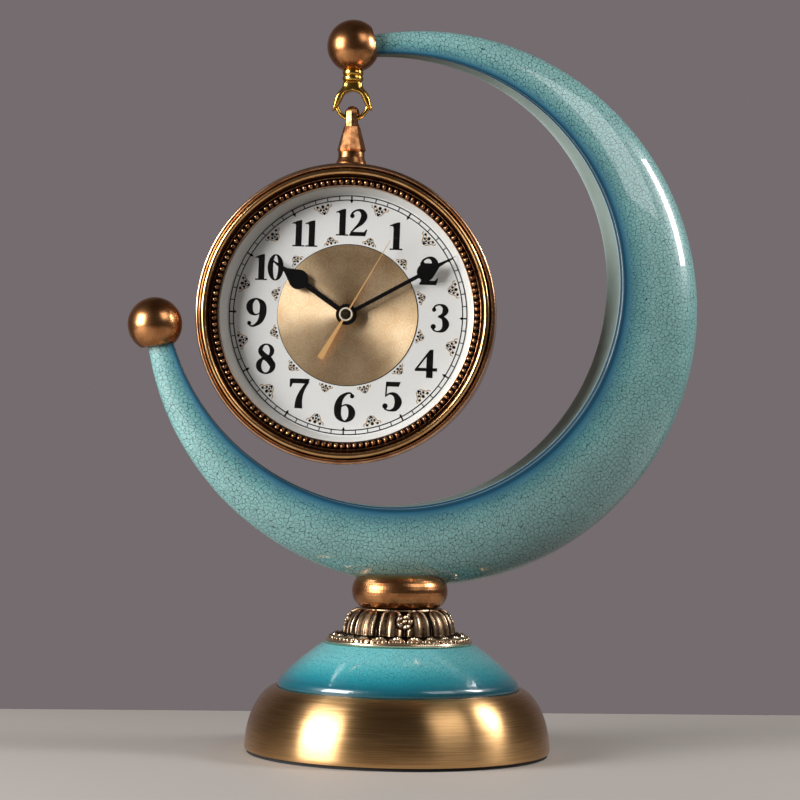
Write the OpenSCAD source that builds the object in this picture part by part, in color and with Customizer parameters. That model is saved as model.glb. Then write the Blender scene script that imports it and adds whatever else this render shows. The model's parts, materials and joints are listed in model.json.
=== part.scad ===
// A table clock whose round head hangs by a swivel clasp from the upper horn of a glazed crescent.
// X runs to the right as seen from the front, the dial faces -Y, and the foot stands on Z = 0.

/* [Base] */
// Radius of the brass base at its foot
base_r = 75; // [72:0.5:80]
// Radius of the base's top edge
base_top_r = 60.5; // [60.2:0.1:62]
// Height of the base shell
base_h = 30.5; // [26:0.5:36]
// Wall of the spun base shell
base_wall = 1.6; // [1.2:0.1:2]
// Thickness of the foot pad
foot_t = 1.5; // [1:0.1:2.5]
// Radius of the plinth under the cast collar
plinth_top_r = 37.5; // [36.5:0.5:42]
// Height of the plinth
plinth_h = 22.5; // [18:0.5:28]
// Wall of the hollow plinth
plinth_wall = 5; // [4:0.5:7]
// Radius of the cast collar's flange
flange_r = 36.2; // [33:0.1:36.4]
// Height of the cast collar's flange
flange_h = 4.9; // [4:0.1:6]
// Radius of the cast collar's dome at its foot
dome_r = 27.6; // [26:0.1:29]
// Radius of the cast collar's dome at its top
dome_top_r = 19.4; // [17:0.1:21]
// Height of the cast collar's dome
dome_h = 12.3; // [10:0.1:15]
// Number of flutes round the dome
flutes = 12; // [8:1:16]
// Radius of the bead under the crescent
bead_r = 23.6; // [21:0.1:26]
// Height of the bead
bead_h = 16.8; // [15:0.1:20]
// Radius of the tie rod
rod_r = 4; // [3:0.5:5]

/* [Crescent] */
// Radius of the crescent's outer edge
outer_r = 137; // [132:0.5:142]
// Radius of the crescent's inner edge, as a share of the outer one
inner_share = 0.8124; // [0.8:0.0002:0.82]
// Distance between the centres of the two edges, as a share of the outer radius
gap_share = 0.1547; // [0.15:0.0001:0.16]
// Direction in which the inner edge's centre lies
gap_dir = 142.5; // [138:0.5:147]
// How far the crescent's centre stands to the right of the base's axis
crescent_dx = 9.5; // [5:0.5:14]
// Depth of the crescent at its widest, as a share of its outer radius
depth_share = 0.3285; // [0.3:0.0005:0.36]
// How far the crescent sinks into the bead
saddle_depth = 5.2; // [4:0.1:6]
// Direction in which the upper horn ends
upper_horn_dir = 102; // [100:0.5:103]
// Direction in which the lower horn ends
lower_horn_dir = -170.5; // [-172:0.5:-169]
// Radius of the ball on the upper horn
upper_ball_r = 13; // [12:0.1:14]
// Radius of the ball on the lower horn
lower_ball_r = 13.3; // [12:0.1:14.5]

/* [Hanger] */
// Angle by which the hanging head is turned from the crescent's plane
head_turn = -11; // [-30:1:30]
// Radius of the two-ring collar under the ball
hanger_collar_r = 5.2; // [4.6:0.1:6]
// Height of the two-ring collar
hanger_collar_h = 5.6; // [5:0.1:7]
// Radius of the swivel post
post_r = 1.5; // [1.2:0.1:1.8]
// Radius of the ring's centre line
ring_r = 7.9; // [7.4:0.1:8.6]
// Radius of the ring's wire
wire_r = 1.1; // [0.9:0.05:1.2]
// Depth of the claw from front to back
claw_depth = 6.6; // [5.6:0.1:8]
// Half the span of the claw's tips
claw_half_span = 10.1; // [9.6:0.1:11]
// Radius of the pendant's eye
eye_r = 3.6; // [3.4:0.05:3.8]
// Radius of the pendant's cone at its widest
cone_r = 7.1; // [6:0.1:8]
// How far the head's centre hangs below the crescent's, as a share of the outer radius
hang_share = 0.0358; // [0.025:0.0001:0.045]

/* [Clock head] */
// Radius of the clock head, as a share of the crescent's outer radius
case_share = 0.5358; // [0.53:0.0002:0.55]
// Depth of the case band
band_depth = 27; // [26.5:0.5:30]
// Wall of the case band
band_wall = 1.6; // [1.2:0.1:2]
// Width of the bezel from its opening to its edge
bezel_w = 11; // [10.8:0.1:11.6]
// Distance from bead to bead round the bezel
bead_pitch = 3.06; // [3.02:0.01:3.3]
// Radius of one bead
bezel_bead_r = 1.42; // [1.2:0.02:1.46]
// Thickness of the glass
glass_t = 1.8; // [1.4:0.1:2.4]
// How far the glass is domed
glass_rise = 1.4; // [0.8:0.1:2]
// Depth from the glass down to the dial
reflector_h = 7.8; // [7.6:0.1:10]
// Width of the reflector ring's slope as seen from the front
reflector_w = 2.8; // [1.8:0.1:4]
// Thickness of the dial
dial_t = 0.8; // [0.5:0.1:1.2]
// Radius of the gold centre disc, as a share of the opening
disc_share = 0.553; // [0.52:0.001:0.57]
// Thickness of the gold centre disc
centre_disc_t = 0.4; // [0.3:0.05:0.5]
// Thickness of the rear cover
cover_t = 1.6; // [0.8:0.1:1.8]

/* [Hands] */
// Length of the minute hand from the arbor, as a share of the opening's radius
minute_share = 0.9776; // [0.92:0.0002:0.98]
// Distance of the minute hand's spade from the arbor, as a share of its length
minute_bulb_share = 0.7213; // [0.68:0.0001:0.75]
// Radius of the minute hand's spade
minute_bulb_r = 4.4; // [3.5:0.1:5]
// Width of the minute hand's stem
minute_stem_w = 1.9; // [1.4:0.1:2.4]
// Length of the hour hand as a share of the minute hand's
hour_share = 0.7869; // [0.74:0.0001:0.8]
// Distance of the hour hand's spade from the arbor, as a share of its length
hour_bulb_share = 0.6146; // [0.58:0.0001:0.66]
// Radius of the hour hand's spade
hour_bulb_r = 4.9; // [4:0.1:5.5]
// Width of the hour hand's stem
hour_stem_w = 2.5; // [2:0.1:3]
// Length of the second hand as a share of the minute hand's
second_share = 0.6885; // [0.62:0.0005:0.8]
// Length of the second hand's tail as a share of the minute hand's length
tail_share = 0.4098; // [0.33:0.0002:0.45]
// Width of the second hand's tail at its end
second_tail_w = 3; // [2:0.1:3.4]
// Minutes past ten o'clock that the hands show
shown_minutes = 10.2; // [0:0.1:59]
// Seconds that the second hand shows
shown_seconds = 5; // [0:1:59]

/* [Movement] */
// Side of the square quartz movement
movement_w = 56; // [55:0.5:57]
// Depth of the movement
movement_depth = 15.8; // [15.8:0.1:17]
// Wall of the movement's housing
housing_wall = 1.3; // [1.1:0.1:1.4]
// Radius of the threaded centre post
centre_post_r = 3.95; // [3.8:0.05:4.2]
// Radius of the cell
cell_r = 7.1; // [6.9:0.05:7.25]
// Length of the cell with its nub
cell_len = 50.5; // [49:0.1:50.5]
// Radius of the setting knob
knob_r = 5.5; // [4.5:0.1:6]
// Height of the setting knob
knob_h = 4; // [3:0.1:5]

/* [Hidden] */
$fn = 96;

// Clearances: an overrun for cuts, a slip fit, a running fit and the gap of parts that pass freely
over = 1;
slip = 0.02;
running = 0.05;
free_gap = 0.3;

// Base: heights stack up from the foot
base_curve_share = 0.62;
base_points = 24;
base_lip_h = 1;
base_lip_w = 1;
foot_inset = 1.2;
deck_z = foot_t + base_h - base_lip_h;
plinth_gap = 0.2;
plinth_r = base_top_r - base_lip_w - plinth_gap;
weight_in = 9;
weight_r = base_r - weight_in;
weight_h = 14;
weight_hub_r = 20;
nut_pocket_r = 11;
nut_pocket_h = 8;
nut_r = 6.5;
nut_h = 6;
washer_r = 9;
washer_t = 1.6;
rod_socket = 18;
plinth_z = deck_z;
plinth_round = 3;
plinth_bulge = 1.1;
collar_z = plinth_z + plinth_h;
collar_top_z = collar_z + flange_h + dome_h;
flute_r = 2.5;
flute_cut = 1.1;
scroll_count_share = 1.5;
scroll_r = 2.7;
scroll_in = 3.1;
scroll_small_share = 0.62;
flange_edge_h = 1.3;
flange_round = 0.8;
bead_z = collar_top_z;
bead_round_share = 0.42;

// Crescent: all its sizes follow its outer radius, the lip and the hollow wall its width
inner_r = outer_r * inner_share;
centre_gap = outer_r * gap_share;
crescent_depth = outer_r * depth_share;
crescent_cx = crescent_dx;
crescent_cz = bead_z + bead_h - saddle_depth + sqrt(outer_r * outer_r - crescent_dx * crescent_dx);
widest_w = outer_r - inner_r + centre_gap;
lip_share = 0.06;
dish_share = 0.05;
bulge_steps = 9;
lip_steps = 3;
wall_steps = 6;
moon_steps = 76;
saddle_gap = 0.15;
saddle_dir = -83;

// Balls sit on the horns' ends, a little outside the horns' middle line
ball_out = 1.4;
ball_seat_share = 0.78;
stud_r = 2;
stud_reach = 8;

// Hanger: heights stack down from the upper ball
hanger_hole_r = 3.3;
collar_spigot_r = 3.1;
collar_spigot_h = 5;
collar_groove_d = 0.7;
swivel_cap_r = 2.7;
swivel_cap_h = 1.3;
cap_gap = 0.15;
claw_wall = 1.15;
claw_groove_gap = 0.15;
claw_crown_half = 5.4;
claw_tip_below = 4.1;
claw_arch_above = 6.4;
claw_open_half = 5.8;
eye_above = 6.4;
eye_below = 3.9;
eye_hole_r = 2.4;
eye_hole_drop = 0.33;
eye_stem_r = 1.4;
eye_stem_share = 0.4726;
eye_sides = 8;
pendant_gap = 0.15;
cone_top_share = 0.57;
neck_r = 6.5;
neck_h = 2.6;
foot_r = 7.5;
pendant_foot_h = 5.3;
pendant_screw_r = 1.5;
pendant_screw_head_r = 2.8;
pendant_screw_head_h = 1.8;
pendant_screw_reach = 7;

// Head: depths are counted from the dial's front face, forwards positive
pendant_depth = -3.1;
case_r = outer_r * case_share;
opening_r = case_r - bezel_w;
dial_open_r = opening_r - reflector_w;
centre_disc_r = opening_r * disc_share;
minute_len = opening_r * minute_share;
minute_bulb_at = minute_len * minute_bulb_share;
hour_len = minute_len * hour_share;
hour_bulb_at = hour_len * hour_bulb_share;
second_len = minute_len * second_share;
second_tail = minute_len * tail_share;
band_front = 7;
skirt_t = 1;
band_r = case_r - skirt_t;
skirt_z = 4.5;
shelf_w = 10;
shelf_t = 1.6;
glass_seat = 1.9;
glass_edge_r = opening_r + glass_seat;
rim_wall = 1.1;
lip_t = 0.6;
lip_w = 0.5;
channel_w = 3.1;
thin_ring_w = 0.8;
milgrain_w = 1.2;
gold_ring_w = 2.2;
groove_w = 1.6;
thin_ring_h = 2.2;
milgrain_h = 1.2;
gold_ring_h = 5.2;
groove_h = 1.9;
outer_ring_h = 3.2;
arc_steps = 8;
bead_base_t = 0.6;
lug_r = 3.2;
lug_h = 4;
lug_in = 4.2;
cover_screw_r = 1.1;
cover_screw_len = 5;
cover_head_r = 2.3;
cover_head_h = 1.3;
cover_window_gap = 0.8;
gasket_r = 9;
dial_nut_r = 4.9;
dial_nut_h = 2;

// Hands: each rides above the one before it
hand_t = 0.6;
hour_hand_z = 3;
minute_hand_z = 4.5;
second_hand_z = 6;
second_hand_t = 0.4;
hour_hub_r = 5;
minute_hub_r = 5.15;
hub_rise = 0.5;
second_cap_r = 3.4;
second_cap_drop = 0.2;
second_cap_h = 1.2;
second_half_w = 0.4;
second_tip_w = 0.25;
spade_neck_share = 0.55;
hours_shown = 10;

// Movement: depths are counted back from the dial, positions from the centre arbor
gasket_t = 0.8;
housing_front = -dial_t - gasket_t;
housing_rear = housing_front - movement_depth;
cell_wall_y = -11.4;
cell_wall_t = 0.8;
cell_y = -19.4;
second_arbor_r = 0.5;
arbor_r = 0.5;
pipe_r = 1.4;
hour_pipe_r = 2.35;
post_bore_r = 2.42;
bridge_z = -9.2;
bridge_t = 0.6;
bridge_top = 17;
bridge_half = 25.5;
pivot_boss_r = 1.6;
addendum_share = 0.72;
dedendum_share = 1.1;
tooth_share = 0.42;
flank_share = 0.2;
root_flank_share = 1.12;

// Tooth counts: wheel and pinion of every mesh, and the module of every mesh
rotor_mesh = [8, 48];
intermediate_mesh = [10, 50];
third_mesh = [8, 60];
centre_mesh = [8, 64];
minute_mesh = [15, 45];
hour_mesh = [12, 48];
setting_teeth = 12;
fast_module = 0.35;
third_module = 0.36;
centre_module = third_module * (third_mesh[0] + third_mesh[1]) / (centre_mesh[0] + centre_mesh[1]);
motion_module = 0.4;

// Directions of the arbors from the one before, seen from the front
third_dir = 135;
intermediate_dir = 20;
rotor_dir = -50;
minute_dir = 50;
setting_dir = 10;

function pitch_r(teeth, module_mm) = teeth * module_mm / 2;
function polar(r, a) = [r * cos(a), r * sin(a)];
third_at = polar(pitch_r(third_mesh[0] + third_mesh[1], third_module), third_dir);
intermediate_at = polar(pitch_r(intermediate_mesh[0] + intermediate_mesh[1], fast_module), intermediate_dir);
rotor_at = intermediate_at + polar(pitch_r(rotor_mesh[0] + rotor_mesh[1], fast_module), rotor_dir);
minute_at = polar(pitch_r(minute_mesh[0] + minute_mesh[1], motion_module), minute_dir);
setting_at = minute_at + polar(pitch_r(minute_mesh[1] + setting_teeth, motion_module), setting_dir);

// The turn that puts a driven gear's gap on the driving gear's tooth; dir points at the driven gear
function meshed(dir, driver_turn, driver, driven) =
    dir + 180 - 180 / driven + (dir - driver_turn) * driver / driven;
minute_wheel_turn = meshed(minute_dir, 0, minute_mesh[0], minute_mesh[1]);

// Crescent: reach of the inner edge, width and half depth in the direction a from its centre
function inner_reach(a) =
    centre_gap * cos(a - gap_dir) + sqrt(pow(inner_r, 2) - pow(centre_gap * sin(a - gap_dir), 2));
function moon_w(a) = outer_r - inner_reach(a);
function moon_half(a) = moon_w(a) * crescent_depth / widest_w / 2;
function moon_point(a, r, y) = [crescent_cx + r * cos(a), y, crescent_cz + r * sin(a)];
function moon_mid(a) = moon_point(a, outer_r - moon_w(a) / 2, 0);
function moon_along(a) = [-sin(a), 0, cos(a)];

// Half of the section, from the outer edge over the bulge and the lip to the inner wall's edge
function half_section(a, grow) =
    let (w = moon_w(a), h = moon_half(a), lip = w * lip_share, r0 = inner_reach(a) + lip)
    concat(
        [for (i = [0 : bulge_steps - 1])
            let (t = 90 * i / bulge_steps, n = [h * cos(t), (w - lip) * sin(t)])
            [r0 + (w - lip) * cos(t), h * sin(t)] + n * grow / norm(n)],
        [for (i = [0 : lip_steps])
            let (t = 90 * i / lip_steps)
            [r0 - (lip + grow) * sin(t), h - lip + (lip + grow) * cos(t)]]
    );

// The hollow of the inner wall, between its two edges
function wall_section(a, grow) =
    let (w = moon_w(a), edge = moon_half(a) - w * lip_share)
    [for (i = [1 : wall_steps - 1])
        let (t = 1 - 2 * i / wall_steps)
        [inner_reach(a) - grow + w * dish_share * (1 - t * t), edge * t]];
function section(a, grow) =
    let (half = half_section(a, grow), last = len(half) - 1)
    concat(
        half,
        wall_section(a, grow),
        [for (i = [last : -1 : 1]) [half[i][0], -half[i][1]]]
    );

upper_end = moon_mid(upper_horn_dir);
lower_end = moon_mid(lower_horn_dir);
upper_ball_at = upper_end + upper_ball_r * ball_seat_share * moon_along(upper_horn_dir)
    + ball_out * [cos(upper_horn_dir), 0, sin(upper_horn_dir)];
lower_ball_at = lower_end - lower_ball_r * ball_seat_share * moon_along(lower_horn_dir)
    + ball_out * [cos(lower_horn_dir), 0, sin(lower_horn_dir)];

hang_x = upper_ball_at[0];
collar_seat_z = upper_ball_at[2] - sqrt(pow(upper_ball_r, 2) - pow(hanger_collar_r, 2));
hanger_collar_z = collar_seat_z - hanger_collar_h;
claw_top_z = hanger_collar_z - free_gap;
ring_z = claw_top_z - claw_wall - claw_groove_gap - wire_r - ring_r;
wire_z = ring_z - ring_r;
cone_top_z = wire_z - eye_below - pendant_gap;
head_z = crescent_cz - outer_r * hang_share;
foot_top_z = head_z + band_r + pendant_foot_h;
eye_stem_h = (cone_top_z - foot_top_z - neck_h) * eye_stem_share;
stem_top_z = collar_seat_z + collar_spigot_h + cap_gap + swivel_cap_h;

// Head: depths of the bezel's steps
glass_z = reflector_h;
bezel_z = glass_z + glass_t + slip;
channel_z = bezel_z + lip_t;
channel_r = opening_r + lip_w;
bead_count = floor(2 * PI * (channel_r + channel_w / 2) / bead_pitch);
thin_ring_r = channel_r + channel_w;
milgrain_r = thin_ring_r + thin_ring_w;
gold_ring_r = milgrain_r + milgrain_w;
groove_r = gold_ring_r + gold_ring_w;
outer_ring_r = groove_r + groove_w;
shelf_z = -dial_t - shelf_t;
band_rear = band_front - band_depth;
cover_z = band_rear;
lug_ring_r = band_r - band_wall - lug_in;

// A solid turned from points [r, z]
module turned(points) {
    rotate_extrude() polygon(points);
}

// A ring or disc of radii r_in and r_out, from z up by h
module ring_plate(r_out, r_in, z, h) {
    translate([0, 0, z])
        difference() {
            cylinder(r = r_out, h = h);
            if (r_in > 0) translate([0, 0, -over]) cylinder(r = r_in, h = h + 2 * over);
        }
}

// A solid lofted through closed rings of points
module loft(rings) {
    m = len(rings[0]);
    n = len(rings);
    points = [for (ring = rings) for (p = ring) p];
    sides = [for (i = [0 : n - 2]) for (j = [0 : m - 1]) let (k = (j + 1) % m)
        each [[i * m + j, i * m + k, (i + 1) * m + k], [i * m + j, (i + 1) * m + k, (i + 1) * m + j]]];
    first_cap = [for (j = [m - 1 : -1 : 0]) j];
    last_cap = [for (j = [0 : m - 1]) (n - 1) * m + j];
    polyhedron(points, concat(sides, [first_cap, last_cap]), convexity = 6);
}

// A many-sided solid through rings [r, z], with a ridge at the front
module ridged(rings) {
    loft([for (ring = rings)
        [for (j = [0 : eye_sides - 1])
            let (a = -90 - 360 * j / eye_sides) [ring[0] * cos(a), ring[0] * sin(a), ring[1]]]]);
}

// The crescent between the directions of its two horns
module moon(from, to, steps) {
    loft([for (i = [0 : steps])
        let (a = from + (to - from) * i / steps)
        [for (p = section(a, 0)) moon_point(a, p[0], p[1])]]);
}

// A rod along the crescent's run through the point at, reaching both ways
module horn_rod(at, dir, r, reach) {
    translate(at) rotate([0, -dir, 0]) translate([0, 0, -reach]) cylinder(r = r, h = 2 * reach);
}

// The frame of the hanger: Z up through the ball, X along the dial
module on_hanger() {
    translate([hang_x, 0, 0]) rotate([0, 0, head_turn]) children();
}

// The frame of the head: Z forwards out of the dial, Y up, zero on the dial's front face
module on_head() {
    on_hanger() translate([0, 0, head_z]) rotate([90, 0, 0]) translate([0, 0, -pendant_depth]) children();
}

// A spur gear cut from a plate, its first tooth along X
module gear(teeth, module_mm, z, h, bore_r, turn = 0) {
    pitch = pitch_r(teeth, module_mm);
    step = 360 / teeth;
    root = pitch - dedendum_share * module_mm;
    tip = pitch + addendum_share * module_mm;
    outline = [for (i = [0 : teeth - 1]) each [
        polar(root, (i - tooth_share / 2 * root_flank_share) * step),
        polar(pitch, (i - tooth_share / 2) * step),
        polar(tip, (i - flank_share / 2) * step),
        polar(tip, (i + flank_share / 2) * step),
        polar(pitch, (i + tooth_share / 2) * step),
        polar(root, (i + tooth_share / 2 * root_flank_share) * step)
    ]];
    translate([0, 0, z])
        rotate([0, 0, turn])
            linear_extrude(h)
                difference() {
                    polygon(outline);
                    if (bore_r > 0) circle(r = bore_r);
                }
}

module foot_pad() {
    color("#1b1a19") cylinder(r = base_r - foot_inset, h = foot_t);
}

// The spun shell bulges from its foot up to a narrow lip round the plinth
function base_profile(inset, h) = [for (i = [0 : base_points])
    let (t = sin(90 * i / base_points))
    [base_top_r - inset + (base_r - base_top_r) * pow(1 - t * t, base_curve_share), foot_t + h * t]];

module base_shell() {
    deck = base_h - base_lip_h;
    color("#b9965c")
        difference() {
            turned(concat(
                [[0, foot_t]],
                base_profile(0, base_h),
                [[base_top_r - base_lip_w, foot_t + base_h], [base_top_r - base_lip_w, deck_z]],
                [[0, deck_z]]
            ));
            turned(concat([[0, foot_t - over], [base_r - base_wall, foot_t - over]],
                base_profile(base_wall, deck - base_wall), [[0, deck_z - base_wall]]));
            translate([0, 0, deck_z - base_wall - over])
                cylinder(r = rod_r + free_gap, h = base_wall + 2 * over);
        }
}

module base_weight() {
    color("#3a3b3d")
        difference() {
            union() {
                translate([0, 0, foot_t]) cylinder(r = weight_r, h = weight_h);
                translate([0, 0, foot_t]) cylinder(r = weight_hub_r, h = deck_z - base_wall - foot_t);
            }
            translate([0, 0, foot_t - over]) cylinder(r = nut_pocket_r, h = nut_pocket_h + over);
            cylinder(r = rod_r + free_gap, h = deck_z);
        }
}

washer_z = foot_t + nut_pocket_h - washer_t;
nut_z = washer_z - nut_h;

module rod_washer() {
    color("silver") ring_plate(washer_r, rod_r + running, washer_z, washer_t);
}

module rod_nut() {
    color("silver")
        difference() {
            translate([0, 0, nut_z]) cylinder(r = nut_r, h = nut_h, $fn = 6);
            translate([0, 0, nut_z - over]) cylinder(r = rod_r + slip, h = nut_h + 2 * over);
        }
}

rod_top_z = crescent_cz - outer_r + rod_socket;

module tie_rod() {
    color("silver") translate([0, 0, nut_z]) cylinder(r = rod_r, h = rod_top_z - nut_z);
}

// The plinth swells a little between its collar seat and its rolled lower edge
function plinth_slope(inset) = [for (i = [0 : arc_steps])
    let (t = i / arc_steps)
    [
        plinth_top_r - inset + (plinth_r - plinth_top_r) * t,
        plinth_z + plinth_h - inset - (plinth_h - 2 * plinth_round) * t + plinth_bulge * sin(180 * t)
    ]];
function plinth_edge() = [for (i = [0 : arc_steps])
    let (t = 90 * i / arc_steps)
    [
        plinth_r - plinth_round * (1 - cos(t)),
        plinth_z + plinth_round - plinth_round * sin(t)
    ]];

module glazed_plinth() {
    inside = plinth_r - plinth_wall;
    color("#2c93a3")
        difference() {
            turned(concat([[0, plinth_z + plinth_h]], plinth_slope(0), plinth_edge(), [[0, plinth_z]]));
            turned(concat([[weight_hub_r, plinth_z + plinth_h - plinth_wall]], plinth_slope(plinth_wall),
                [[inside, plinth_z - over], [weight_hub_r, plinth_z - over]]));
            translate([0, 0, plinth_z - over]) cylinder(r = rod_r + free_gap, h = plinth_h + 2 * over);
        }
}

// The dome's outline, from its foot up to the bead
function dome_profile() = [for (i = [0 : arc_steps])
    let (t = 90 * i / arc_steps)
    [
        dome_top_r + (dome_r - dome_top_r) * cos(t),
        collar_z + flange_h + dome_h * sin(t)
    ]];

// Fluted dome over a flange with a wreath of scroll bosses
module cast_collar() {
    lean = atan2(dome_r - dome_top_r, dome_h);
    bosses = flutes * scroll_count_share;
    color("#80623f")
        difference() {
            union() {
                turned(concat(
                    [
                        [0, collar_z],
                        [flange_r - flange_round, collar_z],
                        [flange_r, collar_z + flange_round],
                        [flange_r, collar_z + flange_edge_h],
                        [dome_r + flange_edge_h, collar_z + flange_h]
                    ],
                    dome_profile(),
                    [[0, collar_top_z]]
                ));
                for (i = [0 : bosses - 1])
                    rotate([0, 0, 360 * i / bosses])
                        translate([flange_r - scroll_in, 0, collar_z + scroll_r * scroll_small_share])
                            sphere(r = scroll_r, $fn = 32);
            }
            for (i = [0 : flutes - 1])
                rotate([0, 0, 360 * (i + 1 / 2) / flutes])
                    translate([dome_r + flute_r - flute_cut, 0, collar_z + flange_h])
                        rotate([0, -lean, 0])
                            translate([0, 0, flute_r]) cylinder(r = flute_r, h = 2 * dome_h, $fn = 32);
            translate([0, 0, collar_z - scroll_r]) cylinder(r = flange_r + over, h = scroll_r);
            translate([0, 0, collar_z - over])
                cylinder(r = rod_r + free_gap, h = flange_h + dome_h + 2 * over);
        }
}

// A cushion with round sides, scooped where the crescent lies in it
module saddle_bead() {
    corner = bead_h * bead_round_share;
    color("#b0762f")
        difference() {
            turned(concat(
                [[0, bead_z], [bead_r - corner, bead_z]],
                [for (i = [1 : 2 * arc_steps])
                    let (t = -90 + 180 * i / 2 / arc_steps)
                    [bead_r - corner + corner * cos(t), bead_z + bead_h / 2 + bead_h / 2 * sin(t)]],
                [[0, bead_z + bead_h]]
            ));
            translate([crescent_cx, 0, crescent_cz])
                rotate([90, 0, 0])
                    rotate_extrude($fn = 180) polygon(section(saddle_dir, saddle_gap));
            translate([0, 0, bead_z - over]) cylinder(r = rod_r + free_gap, h = bead_h + 2 * over);
        }
}

module crescent() {
    color("#8fbdbd")
        difference() {
            moon(lower_horn_dir, upper_horn_dir, moon_steps);
            translate([0, 0, bead_z]) cylinder(r = rod_r + slip, h = rod_top_z - bead_z);
            horn_rod(upper_end, upper_horn_dir, stud_r + slip, stud_reach + slip);
            horn_rod(lower_end, lower_horn_dir, stud_r + slip, stud_reach + slip);
        }
}

// Keeps what lies beyond the horn's end face
module beyond_horn(end, dir, side, size) {
    translate(end)
        rotate([0, -dir, 0])
            translate([0, 0, side * size / 2])
                cube(size, center = true);
}

module upper_ball() {
    color("#b87a33")
        difference() {
            translate(upper_ball_at) sphere(r = upper_ball_r);
            beyond_horn(upper_end, upper_horn_dir, -1, 4 * upper_ball_r);
            horn_rod(upper_end, upper_horn_dir, stud_r + slip, stud_reach + slip);
            translate([hang_x, 0, collar_seat_z - upper_ball_r])
                cylinder(r = upper_ball_r, h = upper_ball_r);
            translate([hang_x, 0, collar_seat_z - over])
                cylinder(r = hanger_hole_r, h = stem_top_z - collar_seat_z + over + free_gap);
        }
}

module lower_ball() {
    color("#b87a33")
        difference() {
            translate(lower_ball_at) sphere(r = lower_ball_r);
            beyond_horn(lower_end, lower_horn_dir, 1, 4 * lower_ball_r);
            horn_rod(lower_end, lower_horn_dir, stud_r + slip, stud_reach + slip);
        }
}

module ball_studs() {
    color("silver") {
        horn_rod(upper_end, upper_horn_dir, stud_r, stud_reach);
        horn_rod(lower_end, lower_horn_dir, stud_r, stud_reach);
    }
}

// Two rounded rings over a spigot that screws into the ball
module hanger_collar() {
    half = hanger_collar_h / 2;
    color("#d8a22e")
        on_hanger()
            turned(concat(
                [[post_r + running, hanger_collar_z]],
                [for (i = [0, 1]) for (k = [i : arc_steps])
                    let (t = -90 + 180 * k / arc_steps)
                    [
                        hanger_collar_r - collar_groove_d * (1 - cos(t)),
                        hanger_collar_z + half * (i + (1 + sin(t)) / 2)
                    ]],
                [
                    [collar_spigot_r, collar_seat_z],
                    [collar_spigot_r, collar_seat_z + collar_spigot_h],
                    [post_r + running, collar_seat_z + collar_spigot_h]
                ]
            ));
}

// Two claws that straddle the ring, under the post that turns in the collar
module claw_yoke() {
    tip_z = ring_z - claw_tip_below;
    arch_z = ring_z + claw_arch_above;
    side = [
        [claw_crown_half, claw_top_z],
        [claw_half_span, tip_z],
        [claw_open_half, ring_z],
        [claw_open_half / 2, arch_z - claw_groove_gap]
    ];
    color("#d8a22e")
        on_hanger()
            difference() {
                union() {
                    rotate([90, 0, 0])
                        linear_extrude(claw_depth, center = true)
                            polygon(concat(
                                side,
                                [[0, arch_z]],
                                [for (i = [len(side) - 1 : -1 : 0]) [-side[i][0], side[i][1]]]
                            ));
                    translate([0, 0, claw_top_z - claw_wall])
                        cylinder(r = post_r, h = stem_top_z - claw_top_z + claw_wall);
                }
                translate([0, 0, ring_z])
                    rotate([90, 0, 0])
                        rotate_extrude()
                            translate([ring_r, 0]) circle(r = wire_r + claw_groove_gap, $fn = 48);
                translate([0, 0, ring_z])
                    rotate([90, 0, 0])
                        cylinder(r = ring_r, h = 2 * wire_r + 2 * claw_groove_gap, center = true);
            }
}

module swivel_cap() {
    color("#c79a3a")
        on_hanger()
            ring_plate(swivel_cap_r, post_r + slip, collar_seat_z + collar_spigot_h + cap_gap, swivel_cap_h);
}

module hanger_ring() {
    color("#d8a22e")
        on_hanger()
            translate([0, 0, ring_z])
                rotate([90, 0, 0])
                    rotate_extrude() translate([ring_r, 0]) circle(r = wire_r, $fn = 48);
}

module pendant_eye() {
    eye_z = wire_z - eye_below;
    dome_z = wire_z + eye_above - eye_r;
    color("#a9693f")
        on_hanger()
            difference() {
                union() {
                    ridged(concat(
                        [[eye_r, eye_z], [eye_r, dome_z]],
                        [for (i = [1 : arc_steps - 2])
                            let (t = 90 * i / (arc_steps - 1)) [eye_r * cos(t), dome_z + eye_r * sin(t)]]
                    ));
                    translate([0, 0, eye_z - eye_stem_h]) cylinder(r = eye_stem_r, h = eye_stem_h + wire_r);
                }
                translate([0, 0, wire_z - eye_hole_drop])
                    rotate([0, 90, 0])
                        cylinder(r = eye_hole_r, h = 4 * eye_r, center = true);
            }
}

// Ridged cone, neck and flared foot, cut to sit on the round band
module pendant() {
    neck_top = foot_top_z + neck_h;
    color("#a9693f")
        on_hanger()
            difference() {
                union() {
                    ridged([
                        [neck_r - free_gap, neck_top - free_gap],
                        [cone_r, neck_top + neck_h / 2],
                        [cone_r * cone_top_share, cone_top_z]
                    ]);
                    translate([0, 0, foot_top_z]) cylinder(r = neck_r, h = neck_h);
                    translate([0, 0, foot_top_z - pendant_foot_h / 2])
                        cylinder(r1 = foot_r, r2 = neck_r, h = pendant_foot_h / 2);
                    translate([0, 0, foot_top_z - pendant_foot_h - over])
                        cylinder(r = foot_r, h = pendant_foot_h / 2 + over);
                }
                translate([0, 0, head_z])
                    rotate([90, 0, 0])
                        cylinder(r = band_r, h = 4 * foot_r, center = true, $fn = 180);
                translate([0, 0, cone_top_z - eye_stem_h])
                    cylinder(r = eye_stem_r + slip, h = eye_stem_h + over);
                translate([0, 0, head_z])
                    cylinder(r = pendant_screw_r + slip, h = band_r + pendant_screw_reach);
            }
}

screw_seat_z = head_z + band_r - band_wall;

module pendant_screw() {
    shank = pendant_screw_head_h + band_wall + pendant_screw_reach - free_gap;
    color("silver")
        on_hanger() {
            translate([0, 0, screw_seat_z - pendant_screw_head_h])
                cylinder(r = pendant_screw_head_r, h = pendant_screw_head_h - free_gap);
            translate([0, 0, screw_seat_z - pendant_screw_head_h])
                cylinder(r = pendant_screw_r, h = shank);
        }
}

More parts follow.
